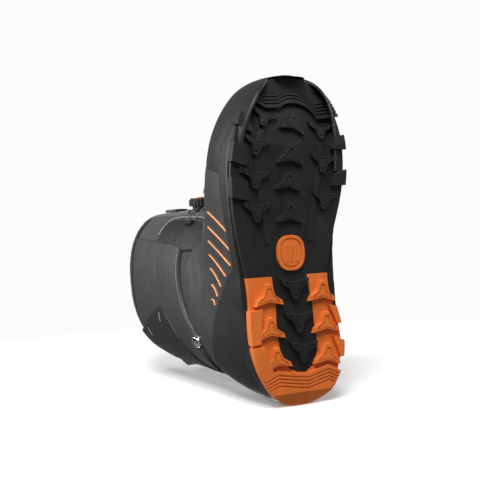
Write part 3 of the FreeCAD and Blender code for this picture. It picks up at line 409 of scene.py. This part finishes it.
def thread_row(name, line, height, pitch=3.0, long=2.0, wide=0.32):
    """A row of stitches over the form: short capsules set end to end along a curve of (s, t), each bowed
    up in the middle by a half sine so that its ends sink into the panel."""
    fine = resample(line, 400)
    base = surface(fine[:, 0], fine[:, 1])
    above = surface(fine[:, 0], fine[:, 1], 1.0) - base
    above /= np.linalg.norm(above, axis=1)[:, None]
    run = np.concatenate([[0], np.cumsum(np.linalg.norm(np.diff(base, axis=0), axis=1))])
    count = max(2, int(run[-1] / pitch))
    begin = np.arange(count) * pitch + 0.3
    rings, sides = 6, 6
    spot = begin[:, None] + np.linspace(0, 1, rings)[None] * long
    middle = np.stack([np.interp(spot, run, base[:, k]) for k in range(3)], -1)
    up = np.stack([np.interp(spot, run, above[:, k]) for k in range(3)], -1)
    bow = np.sin(np.pi * np.linspace(0, 1, rings))[None, :, None]
    middle = middle + up * (height - 0.15 + 0.3 * bow)
    ahead = np.gradient(middle, axis=1)
    ahead /= np.linalg.norm(ahead, axis=-1, keepdims=True)
    across = np.cross(ahead, up)
    angle = np.linspace(0, 2 * np.pi, sides, endpoint=False)
    fat = np.sqrt(np.clip(1 - (np.linspace(-1, 1, rings) * 0.95) ** 2, 0.05, 1))[None, :, None, None] * wide
    points = middle[:, :, None] + fat * (np.cos(angle)[None, None, :, None] * across[:, :, None]
                                         + np.sin(angle)[None, None, :, None] * up[:, :, None])
    i = np.arange(rings - 1)[:, None] * sides
    j = np.arange(sides)[None]
    ahead_j = (j + 1) % sides
    quads = np.stack([i + j, i + ahead_j, i + sides + ahead_j, i + sides + j], -1).reshape(-1, 4)
    offset = (np.arange(count) * rings * sides)[:, None, None]
    return quad_mesh(name, points.reshape(-1, 3) * MM, (quads[None] + offset).reshape(-1, 4))


def inset(curve, other, millimetres):
    """A curve moved from curve towards other by about that many millimetres, point by point."""
    a = resample(curve, 80)
    b = resample(other, 80)
    gap = np.linalg.norm(surface(a[:, 0], a[:, 1]) - surface(b[:, 0], b[:, 1]), axis=1)
    share = np.clip(millimetres / np.maximum(gap, 1e-6), 0, 0.5)[:, None]
    return a * (1 - share) + b * share


def place(obj, body, slot_name, *nodes):
    """Paints a finished piece, lets it ride on its body and lets it stand for its CAD nodes."""
    obj.data.materials.clear()
    obj.data.materials.append(MATERIALS[slot_name])
    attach(obj, body)
    if nodes:
        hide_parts(*nodes)
    return obj


# ------------------------------------------------------------------ finishes
MATERIALS = {}
SHINE = 0.32                 # mirror share of every finish, below that of bare plastic


def finish(name, colour, rough, grain=0.0008, depth=0.00006, vary=0.25, weave=0.0, round_edge=0.0, metal=0.0,
           sheen=0.0, scuff=0.0, scuff_colour=(0.3, 0.3, 0.3)):
    """A procedural finish in object space: broad noise varies the colour, fine noise raises the grain, bands
    make a weave, a stretched noise scuffs it, and round_edge softens edges by that radius in metres."""
    mat = bpy.data.materials.new(name)
    mat.use_nodes = True
    tree = mat.node_tree
    shader = tree.nodes["Principled BSDF"]
    shader.inputs["Metallic"].default_value = metal
    shader.inputs["Specular IOR Level"].default_value = SHINE
    if sheen:
        shader.inputs["Sheen Weight"].default_value = sheen
        shader.inputs["Sheen Roughness"].default_value = 0.5
    where = tree.nodes.new("ShaderNodeTexCoord")

    def noise(scale, detail=4.0, roughness=0.6, stretch=None):
        """Noise of so many cells per metre, squeezed along the axes where stretch is given."""
        node = tree.nodes.new("ShaderNodeTexNoise")
        node.inputs["Scale"].default_value = scale
        node.inputs["Detail"].default_value = detail
        node.inputs["Roughness"].default_value = roughness
        source = where.outputs["Object"]
        if stretch is not None:
            squeeze = tree.nodes.new("ShaderNodeMapping")
            squeeze.inputs["Scale"].default_value = stretch
            tree.links.new(source, squeeze.inputs["Vector"])
            source = squeeze.outputs["Vector"]
        tree.links.new(source, node.inputs["Vector"])
        return node.outputs["Fac"]

    def spread(value, low, high, to_low, to_high):
        """The value moved in a straight line from the range low..high to the range to_low..to_high."""
        node = tree.nodes.new("ShaderNodeMapRange")
        node.inputs["From Min"].default_value = low
        node.inputs["From Max"].default_value = high
        node.inputs["To Min"].default_value = to_low
        node.inputs["To Max"].default_value = to_high
        tree.links.new(value, node.inputs["Value"])
        return node.outputs["Result"]

    def blend_colours(share, a, b):
        """The colour a where share is 0, b where it is 1, and a mix between them."""
        node = tree.nodes.new("ShaderNodeMix")
        node.data_type = "RGBA"
        tree.links.new(share, node.inputs["Factor"])
        for value, socket in ((a, node.inputs["A"]), (b, node.inputs["B"])):
            if isinstance(value, tuple):
                socket.default_value = (*value, 1)
            else:
                tree.links.new(value, socket)
        return node.outputs["Result"]

    dark = tuple(c * (1 - vary) for c in colour)
    light = tuple(min(1.0, c * (1 + vary)) for c in colour)
    tone = blend_colours(spread(noise(38.0), 0.3, 0.7, 0, 1), dark, light)
    if scuff:
        worn = spread(noise(60.0, 6.0, 0.75, (1.0, 0.35, 2.2)), 0.58, 0.78, 0, scuff)
        tone = blend_colours(worn, tone, scuff_colour)
    tree.links.new(tone, shader.inputs["Base Color"])
    tree.links.new(spread(noise(90.0), 0.25, 0.75, rough - 0.08, rough + 0.1), shader.inputs["Roughness"])
    raise_it = spread(noise(1.0 / grain, 3.0, 0.55), 0.2, 0.8, 0, 1)
    if weave:
        total = raise_it
        for direction in ("X", "Y", "Z"):
            bands = tree.nodes.new("ShaderNodeTexWave")
            bands.bands_direction = direction
            bands.inputs["Scale"].default_value = 0.314 / weave
            tree.links.new(where.outputs["Object"], bands.inputs["Vector"])
            add = tree.nodes.new("ShaderNodeMath")
            add.operation = "ADD"
            tree.links.new(bands.outputs["Fac"], add.inputs[0])
            tree.links.new(total, add.inputs[1])
            total = add.outputs[0]
        raise_it = spread(total, 0, 3, 0, 1)
    bump = tree.nodes.new("ShaderNodeBump")
    bump.inputs["Strength"].default_value = 1.0
    bump.inputs["Distance"].default_value = depth
    tree.links.new(raise_it, bump.inputs["Height"])
    if round_edge:
        edge = tree.nodes.new("ShaderNodeBevel")
        edge.samples = 4
        edge.inputs["Radius"].default_value = round_edge
        tree.links.new(edge.outputs["Normal"], bump.inputs["Normal"])
    tree.links.new(bump.outputs["Normal"], shader.inputs["Normal"])
    MATERIALS[name] = mat
    return mat


def make_finishes():
    """One finish for each slot of the record."""
    finish("black_rubber", (0.0125, 0.0125, 0.013), 0.5, 0.0006, 0.00008, 0.22, round_edge=0.0008, scuff=0.35,
           scuff_colour=(0.035, 0.034, 0.033))
    finish("orange_rubber", (0.74, 0.17, 0.026), 0.45, 0.0007, 0.00006, 0.12, round_edge=0.0008, scuff=0.3,
           scuff_colour=(0.62, 0.25, 0.09))
    finish("grey_rubber", (0.0135, 0.0135, 0.0142), 0.4, 0.0006, 0.00005, 0.15, round_edge=0.0015, scuff=0.2,
           scuff_colour=(0.026, 0.026, 0.026))
    finish("charcoal_rubber", (0.0105, 0.0105, 0.011), 0.45, 0.0007, 0.00008, 0.18)
    finish("foam", (0.1, 0.1, 0.1), 0.85, 0.0012, 0.0001, 0.1)
    finish("board", (0.3, 0.27, 0.22), 0.85, 0.001, 0.0001, 0.15)
    finish("dark_textile", (0.008, 0.008, 0.0085), 0.75, 0.0006, 0.00018, 0.25, weave=0.0012, sheen=0.25)
    finish("liner_foam", (0.009, 0.009, 0.0095), 0.85, 0.0009, 0.00012, 0.2, sheen=0.3)
    finish("liner_textile", (0.007, 0.007, 0.0075), 0.9, 0.0004, 0.0002, 0.25, weave=0.0009, sheen=0.4)
    finish("grey_leather", (0.036, 0.036, 0.0375), 0.42, 0.0011, 0.00006, 0.1, scuff=0.12,
           scuff_colour=(0.06, 0.06, 0.06))
    finish("charcoal_leather", (0.013, 0.013, 0.0138), 0.42, 0.0009, 0.0001, 0.15)
    finish("peach_piping", (0.72, 0.30, 0.13), 0.42, 0.0006, 0.00003, 0.08)
    finish("light_trim", (0.19, 0.19, 0.19), 0.4, 0.0006, 0.00003, 0.08)
    finish("bright_metal", (0.75, 0.75, 0.76), 0.22, 0.0004, 0.00001, 0.05, metal=1.0)
    finish("webbing", (0.008, 0.008, 0.0085), 0.7, 0.0005, 0.0003, 0.2, weave=0.0011, sheen=0.3)
    finish("hard_plastic", (0.011, 0.011, 0.0115), 0.4, 0.0006, 0.00004, 0.1, round_edge=0.0006)
    finish("dial_rubber", (0.01, 0.01, 0.0105), 0.5, 0.0005, 0.00005, 0.12, round_edge=0.0007)
    finish("orange_plastic", (0.66, 0.17, 0.03), 0.35, 0.0006, 0.00002, 0.06, round_edge=0.0005)
    finish("guide_plastic", (0.013, 0.013, 0.0135), 0.35, 0.0006, 0.00003, 0.1, round_edge=0.0005)
    finish("steel_lace", (0.2, 0.2, 0.205), 0.4, 0.0004, 0.00003, 0.1, metal=0.6)


# ------------------------------------------------------------------ the boot's pieces
SIDES = (("lateral", LATERAL), ("medial", MEDIAL))
EDGE_POINTS = 60             # points along a panel's edge

# panel edges in side view (y, z, pattern millimetres), the same on both sides
QUARTER_LOW = [(-57, 13), (0, 13), (40, 18), (80, 50), (139, 85)]
QUARTER_TOP = [(-66, 71), (-74, 85), (-46, 96), (-26, 98), (-9, 107), (7.6, 131), (18.5, 146), (40, 154),
               (78, 144), (116, 117), (138, 108)]
CUFF_LOW = [(9.9, 163), (39.6, 160.5), (71.8, 150), (99.5, 127.5), (121.3, 114.4), (140, 112)]
CUFF_TOP = [(2.5, 284), (132, 270)]
WING_FRONT = [(-17.6, 118), (-18.5, 150), (-19, 178), (-19.5, 218), (-15.6, 228)]
WING_REAR = [(14, 118), (16, 160), (14, 200), (12, 230)]
WING_PIPING = [(-17.6, 112), (-19, 150), (-19.5, 205), (-18.5, 222), (-8.6, 229.5), (0, 230)]
STAY_FRONT = [(108, 168), (86, 187), (73, 201), (86, 232), (101, 263), (108, 283)]
STAY_BACK = [(150, 120), (150, 200), (140, 268)]
COUNTER_TOP = [(22, 13), (32, 32), (44, 47), (61, 67), (80, 79.5), (102, 88), (127, 99), (152, 105)]
COUNTER_LOW = [(23, 12), (80, 12), (152, 12)]
TOE_SEAM_HEIGHTS = [0, 45, 70, 92, 112]
TOE_SEAM_PLACES = [-57, -60, -66, -80, -98]
NOSE_REACH = 0.5             # where along the form the nose disc takes its rim
COLLAR_SLOPE = -0.113        # fall of the collar's edge per millimetre towards the heel
THROAT_LOW, THROAT_HIGH = 106.0, 360.0


def throat_half(z):
    """Half width of the throat at height z: it widens evenly from 21 mm at the vamp to 30 mm."""
    return 21.0 + 9.0 * np.clip((z - THROAT_LOW) / (THROAT_HIGH - THROAT_LOW), 0, 1)


def front_edge(s, side, margin):
    """Ring parameter where the throat's edge, less a margin, runs at station s: bisection on the width."""
    near = np.full(len(s), side[1], float)
    far = np.full(len(s), side[1] - np.sign(side[1] - side[0]) * 6.5)
    for _ in range(30):
        mid = (near + far) / 2
        points = surface(s, mid)
        inside = np.abs(points[:, 0] - SHIFT[0]) < throat_half(points[:, 2]) - margin
        near = np.where(inside, mid, near)
        far = np.where(inside, far, mid)
    return near


def front_s(z):
    """Station parameter where the front middle line reaches height z, by interpolation."""
    s = np.linspace(4, 17, 400)
    height = surface(s, np.full(400, -1.5))[:, 2]
    return np.interp(z, height, s)


def make_shell():
    """The woven base shell under the panels: the form from the foam to the collar, open down the throat."""
    s = np.concatenate([np.linspace(0, 6, 60), np.linspace(6, 16.6, 110)[1:]])
    top = front_s(THROAT_LOW)
    left = front_edge(s, LATERAL, 0.0)
    right = front_edge(s, MEDIAL, 0.0)
    open_share = np.clip((s - top) / 0.35, 0, 1)
    left = 26.5 * (1 - open_share) + left * open_share
    right = -1.5 * (1 - open_share) + right * open_share
    t = left[:, None] + (right - left)[:, None] * np.linspace(0, 1, 240)[None]
    points = surface(np.repeat(s[:, None], 240, 1), t, -0.3)
    keep_z = 300.0 + COLLAR_SLOPE * (points[..., 1] + 4.2) - 9.0
    points[..., 2] = np.minimum(points[..., 2], keep_z)
    points[..., 2] = np.maximum(points[..., 2], 15.0)
    place(grid_mesh("base_shell", points[:, ::-1] * MM), "boot", "dark_textile", "upper_shell")


def make_quarters():
    """Grey side panels between the toe seam, the counter and the cuff, with two stitch rows at the top."""
    for name, side in SIDES:
        low = on_form(side, resample(QUARTER_LOW, EDGE_POINTS))
        top = on_form(side, resample(rounded(QUARTER_TOP, 2), EDGE_POINTS))
        creases = crease_field([((26, 136), (50, 123), (87, 131)), ((30, 112), (60, 104), (92, 110)),
                                ((-40, 78), (-10, 92), (20, 98))])
        panel = patch("quarter_" + name, crowded([low, (low + top) / 2, top]), lift=1.5, rim=1.8, tuck=0.8,
                      puff=1.6, across=80, along=170, bumps=creases)
        place(panel, "boot", "grey_leather", "quarter_" + name)
        for k, step in enumerate((3.2, 5.6)):
            row = thread_row("quarter_stitch_%s_%d" % (name, k), inset(top, low, step)[4:-22], 1.7)
            place(row, "boot", "charcoal_leather")


def crease_field(lines):
    """Soft furrows along bent lines given in side view: each lowers the panel by a bell of its distance."""
    def field(points):
        """The sum of the furrows' depths at each point of a grid, in millimetres and below zero."""
        total = np.zeros(points.shape[:2])
        flat = points[..., 1:] - SHIFT[1:]
        for line in lines:
            path = resample(rounded(line, 2), 40)
            gap = np.sqrt(((flat[:, :, None] - path[None, None]) ** 2).sum(-1)).min(-1)
            total -= 0.32 * np.exp(-(gap / 3.5) ** 2)
        return total
    return field


def make_cuffs():
    """Thick grey cuff panels with a rolled front and lower edge that stand well off the shell."""
    for name, side in SIDES:
        low = on_form(side, resample(rounded(CUFF_LOW, 2), EDGE_POINTS))
        top = on_form(side, resample(CUFF_TOP, EDGE_POINTS))
        creases = crease_field([((20, 215), (45, 206), (70, 212)), ((15, 246), (42, 240), (62, 247))])
        panel = patch("cuff_" + name, crowded([low, low * 0.6 + top * 0.4, top]), lift=4.2, rim=3.4, tuck=0.8,
                      puff=0.6, across=80, along=150, bumps=creases)
        place(panel, "boot", "grey_leather", "cuff_" + name)
        for k, step in enumerate((5.6, 8.2)):
            row = thread_row("cuff_stitch_%s_%d" % (name, k), inset(low, top, step)[2:-18], 4.4)
            place(row, "boot", "charcoal_leather")


def make_wings():
    """Dark panels beside the throat, edged with a light grey piping."""
    for name, side in SIDES:
        front = on_form(side, resample(rounded(WING_FRONT, 2), 50))
        rear = on_form(side, resample(WING_REAR, 50))
        panel = patch("wing_" + name, crowded([front, (front + rear) / 2, rear]), lift=1.6, rim=1.4, tuck=0.5,
                      puff=0.8, across=40, along=90)
        place(panel, "boot", "charcoal_leather", "wing_" + name)
        edge = on_form(side, resample(rounded(WING_PIPING, 3), 90))
        path = surface(edge[:, 0], edge[:, 1], 1.2) * MM
        place(tube("wing_piping_" + name, path, 0.0011), "boot", "light_trim")
        place(thread_row("wing_stitch_" + name, inset(front, rear, 4), 1.8), "boot", "light_trim")


def make_stay():
    """The dark panel round the back of the shaft, one piece from side to side."""
    curves = []
    for name, side in SIDES:
        curves.append(on_form(side, resample(rounded(STAY_FRONT, 2), EDGE_POINTS)))
    back = on_form(LATERAL, resample(STAY_BACK, EDGE_POINTS))
    back[:, 1] = MIDDLE_BACK
    rows = [curves[0], curves[0] * 0.5 + back * 0.5, back, curves[1] * 0.5 + back * 0.5, curves[1]]
    panel = patch("back_stay", crowded(rows), lift=5.9, rim=1.8, tuck=0.5, puff=0.2, across=120, along=110)
    place(panel, "boot", "charcoal_leather", "back_stay")
    for (name, side), curve in zip(SIDES, curves):
        place(thread_row("stay_stitch_" + name, inset(curve, back, 4), 6.0), "boot", "charcoal_leather")


def make_counter():
    """The moulded dark cup round the heel."""
    tops, lows = [], []
    for name, side in SIDES:
        top = on_form(side, resample(rounded(COUNTER_TOP, 2), EDGE_POINTS))
        low = on_form(side, resample(COUNTER_LOW, EDGE_POINTS))
        top[-1, 1] = low[-1, 1] = MIDDLE_BACK
        tops.append(top)
        lows.append(low)
    top = np.vstack([tops[0], tops[1][-2::-1]])
    low = np.vstack([lows[0], lows[1][-2::-1]])
    panel = patch("heel_counter", crowded([low, (low + top) / 2, top]), lift=2.9, rim=2.2, tuck=0.6, puff=0.6,
                  across=70, along=200)
    place(panel, "boot", "charcoal_rubber", "heel_counter")
    place(thread_row("counter_stitch", inset(top, low, 4), 3.0), "boot", "charcoal_leather")


def seam_station(t):
    """Station parameter of the toe seam at ring parameter t: bisection on the seam's place along the boot."""
    low = np.full(len(t), 0.5)
    high = np.full(len(t), 8.0)
    for _ in range(30):
        mid = (low + high) / 2
        points = surface(mid, t) - SHIFT
        seam = np.interp(points[:, 2], TOE_SEAM_HEIGHTS, TOE_SEAM_PLACES)
        ahead = points[:, 1] < seam
        low = np.where(ahead, mid, low)
        high = np.where(ahead, high, mid)
    return low


def make_toe_cap():
    """The dark toe cap from its double stitched seam round the nose."""
    t = np.linspace(17.0, 36.0, 120)
    seam = np.stack([seam_station(t), t], 1)
    nose = np.stack([np.full(len(t), 0.25), t], 1)
    panel = patch("toe_cap", crowded([seam, (seam + nose) / 2, nose]), lift=1.7, rim=1.8, tuck=0.8, puff=0.8,
                  across=70, along=150)
    place(panel, "boot", "charcoal_leather", "toe_cap")
    for k, step in enumerate((3.0, 5.8)):
        place(thread_row("toe_stitch_%d" % k, inset(seam, nose, step), 2.0), "boot", "grey_leather")


def make_toe_nose():
    """The toe cap's front end: a form ring shrunk evenly to its middle and domed forward by a parabola."""
    t = np.linspace(0, 28, 72, endpoint=False)
    rim = surface(np.full(len(t), NOSE_REACH), t, 1.5)
    middle = rim.mean(0)
    share = np.linspace(0.01, 1, 24)[:, None, None]
    points = middle + (rim[None] - middle) * share
    points[..., 1] -= 2.2 * (1 - share[..., 0] ** 2)
    disc = grid_mesh("toe_nose", points * MM, wrap_v=True)
    facing = np.empty(len(disc.data.polygons) * 3)
    disc.data.polygons.foreach_get("normal", facing)
    if facing[1::3].mean() > 0:
        disc.data.flip_normals()
    place(disc, "boot", "charcoal_leather")


STRIPE_HEAD = [(-24.2, 69), (-9.5, 75), (4.6, 80.5), (18.2, 82), (31.9, 81), (47.9, 79.5), (62.5, 80.5)]
STRIPE_FOOT = [(-1, 19), (14, 19.5), (26.5, 25), (37.5, 38), (48.5, 53), (59, 65), (68, 73)]


def make_stripes():
    """Seven thin raised stripes that fan down each quarter; each bows a little towards the heel."""
    for name, side in SIDES:
        tubes = []
        for head, foot in zip(STRIPE_HEAD, STRIPE_FOOT):
            a, b = np.array(head), np.array(foot)
            share = np.linspace(0, 1, 30)[:, None]
            line = a + (b - a) * share
            across = np.array([(a - b)[1], -(a - b)[0]]) / np.linalg.norm(a - b)
            line = line - across * np.sin(np.pi * share) * 2.4
            st = on_form(side, line)
            path = surface(st[:, 0], st[:, 1], 3.4) * MM
            out = surface(st[:, 0], st[:, 1], 1.0) - surface(st[:, 0], st[:, 1])
            tubes.append(tube("stripe", path, 0.00095, 0.0011, out, 10))
        place(merge("stripes_" + name, tubes), "boot", "peach_piping", "stripes_" + name)


def merge(name, pieces):
    """Several meshes as one object."""
    points, quads, base = [], [], 0
    for piece in pieces:
        count = len(piece.data.vertices)
        flat = np.empty(count * 3)
        piece.data.vertices.foreach_get("co", flat)
        corners = np.empty(len(piece.data.loops), int)
        piece.data.loops.foreach_get("vertex_index", corners)
        points.append(flat.reshape(-1, 3))
        quads.append(corners.reshape(-1, 4) + base)
        base += count
        mesh = piece.data
        bpy.data.objects.remove(piece)
        bpy.data.meshes.remove(mesh)
    return quad_mesh(name, np.vstack(points), np.vstack(quads))


def soft_copy(name, node, voxel, rounds, pressure=0.0, cap=0.006):
    """A softened stand-in for a closed CAD piece: its mesh remade in even cells, blown up a little as cloth
    where there is pressure, never further than cap from where it was, then smoothed."""
    mesh = frame["nodes"][node].data.copy()
    obj = bpy.data.objects.new(name, mesh)
    obj.matrix_world = frame["nodes"][node].matrix_world
    bpy.context.scene.collection.objects.link(obj)
    mesh.transform(obj.matrix_world)
    obj.matrix_world = Matrix.Identity(4)
    remesh = obj.modifiers.new("cells", "REMESH")
    remesh.mode = "VOXEL"
    remesh.voxel_size = voxel
    bake(obj)
    rest = np.empty(len(obj.data.vertices) * 3)
    obj.data.vertices.foreach_get("co", rest)
    if pressure:
        cloth = obj.modifiers.new("stuffing", "CLOTH")
        cloth.settings.quality = 5
        cloth.settings.mass = 0.3
        cloth.settings.use_pressure = True
        cloth.settings.uniform_pressure_force = pressure
        cloth.settings.effector_weights.gravity = 0.0
        cloth.point_cache.frame_start = 1
        cloth.point_cache.frame_end = 20
        scene = bpy.context.scene
        for step in range(1, 21):
            scene.frame_set(step)
        bake(obj)
        scene.frame_set(1)
        now = np.empty(len(rest))
        obj.data.vertices.foreach_get("co", now)
        move = (now - rest).reshape(-1, 3)
        size = np.linalg.norm(move, axis=1, keepdims=True)
        move *= np.minimum(1, cap / np.maximum(size, 1e-9))
        obj.data.vertices.foreach_set("co", (rest.reshape(-1, 3) + move).ravel())
    smooth = obj.modifiers.new("smooth", "SMOOTH")
    smooth.iterations = rounds
    smooth.factor = 0.5
    bake(obj)
    obj.data.polygons.foreach_set("use_smooth", np.ones(len(obj.data.polygons), bool))
    return obj


def bake(obj):
    """Puts the object's modifiers into its mesh."""
    graph = bpy.context.evaluated_depsgraph_get()
    old = obj.data
    obj.data = bpy.data.meshes.new_from_object(obj.evaluated_get(graph))
    obj.modifiers.clear()
    bpy.data.meshes.remove(old)


# CAD piece, body, slot, cloth pressure
PADS = (
    ("tongue_pad", "tongue", "liner_foam", 3.0),
    ("liner_collar", "boot", "liner_textile", 4.0),
    ("liner_tongue", "boot", "liner_textile", 4.0),
)
# CAD piece, body, slot, cell size in metres, rounds of smoothing
SOFTENED = (
    ("tongue_shell", "tongue", "dark_textile", 0.0012, 6),
    ("collar_binding", "boot", "dark_textile", 0.0014, 6),
    ("tongue_pull", "tongue", "webbing", 0.0008, 2),
    ("rear_pull_loop", "pull_loop", "webbing", 0.0005, 3),
    ("loop_anchor", "boot", "webbing", 0.0006, 2),
    ("rand", "boot", "grey_rubber", 0.00125, 5),
)


def make_soft_parts():
    """Padding, textile and webbing pieces with soft rounded edges."""
    for node, body, slot_name, pressure in PADS:
        pad = soft_copy(node + "_soft", node, 0.004, 3, pressure, 0.004)
        even = pad.modifiers.new("even", "SUBSURF")
        even.levels = even.render_levels = 1
        bake(pad)
        pad.data.polygons.foreach_set("use_smooth", np.ones(len(pad.data.polygons), bool))
        place(pad, body, slot_name, node)
    for node, body, slot_name, voxel, rounds in SOFTENED:
        place(soft_copy(node + "_soft", node, voxel, rounds), body, slot_name, node)


ROUTE = np.array([
    (-13.92, -35.03, 193.0), (-22.42, -30.11, 184.5), (-30.42, -24.0, 176.0), (-35.42, -17.91, 166.5),
    (-34.42, -18.91, 156.5), (-26.92, -30.87, 148.5), (-8.92, -48.53, 143.0), (11.08, -51.05, 136.0),
    (28.58, -38.46, 129.0), (35.58, -26.1, 121.0), (35.08, -51.86, 111.5), (23.08, -78.77, 107.0),
    (-20.92, -80.23, 107.0), (-32.92, -61.34, 111.5), (-33.42, -47.34, 121.0), (-26.42, -48.97, 129.0),
    (-8.92, -55.14, 136.0), (11.08, -49.73, 143.0), (29.08, -28.91, 148.5), (36.58, -16.54, 156.5),
    (37.58, -15.75, 166.5), (32.58, -22.54, 176.0), (24.58, -29.26, 184.5), (16.08, -35.03, 193.0),
])


def make_cable():
    """The steel lace from the dial through the guides and back: a twisted tube, cut into pieces where it
    crosses the middle."""
    path = rounded(ROUTE, 3)
    side = path[:, 0] > SHIFT[0]
    cuts = np.nonzero(side[1:] != side[:-1])[0] + 1
    for k, piece in enumerate(np.split(path, cuts)):
        first = max(0, (cuts[k - 1] - 1) if k else 0)
        last = cuts[k] + 1 if k < len(cuts) else len(path)
        run = resample(path[first:last], 60) * MM
        lace = tube("lace_cable_%d" % k, run, 0.00062, sides=16, strands=7, twist=900.0)
        lace.data.materials.append(MATERIALS["steel_lace"])
        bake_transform(lace)
        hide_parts("lace_cable")


def make_slots():
    """Two light grey lozenges on each side of the back stay."""
    for name, side in SIDES:
        made = []
        for ends in (((81.9, 205.0), (92.2, 205.0)), ((101.1, 248.7), (110.7, 245.6))):
            st = on_form(side, resample(ends, 20))
            out = surface(st[:, 0], st[:, 1], 1.0) - surface(st[:, 0], st[:, 1])
            made.append(tube("slot", surface(st[:, 0], st[:, 1], 6.3) * MM, 0.0016, 0.0006, out, 12))
        place(merge("slot_trims_" + name, made), "boot", "light_trim", "slot_trims")


def make_rings():
    """Bright hoops round the ankle eyelets."""
    for name, side in SIDES:
        st = on_form(side, [(108, 127)])
        centre = surface(st[:, 0], st[:, 1], 3.6)[0]
        out = surface(st[:, 0], st[:, 1], 4.6)[0] - centre
        out /= np.linalg.norm(out)
        first = np.cross(out, [0, 0, 1.0])
        first /= np.linalg.norm(first)
        second = np.cross(out, first)
        angle = np.linspace(0, 2 * np.pi, 48, endpoint=False)[:, None]
        hoop = centre + 6.2 * (np.cos(angle) * first + np.sin(angle) * second) + out * 0.6
        wire = tube("ankle_hoop_" + name, hoop * MM, 0.0009, normals=np.tile(out, (48, 1)), closed=True)
        place(wire, "boot", "bright_metal")


make_camera()
make_stage()
make_finishes()
for part in frame["record"]["subparts"]:
    node = frame["nodes"][part["node"]]
    node.data.materials.clear()
    node.data.materials.append(MATERIALS[part["material_slot"]])

make_shell()
make_quarters()
make_cuffs()
make_wings()
make_stay()
make_counter()
make_toe_cap()
make_toe_nose()
make_stripes()
make_rings()
make_slots()
make_cable()
make_soft_parts()
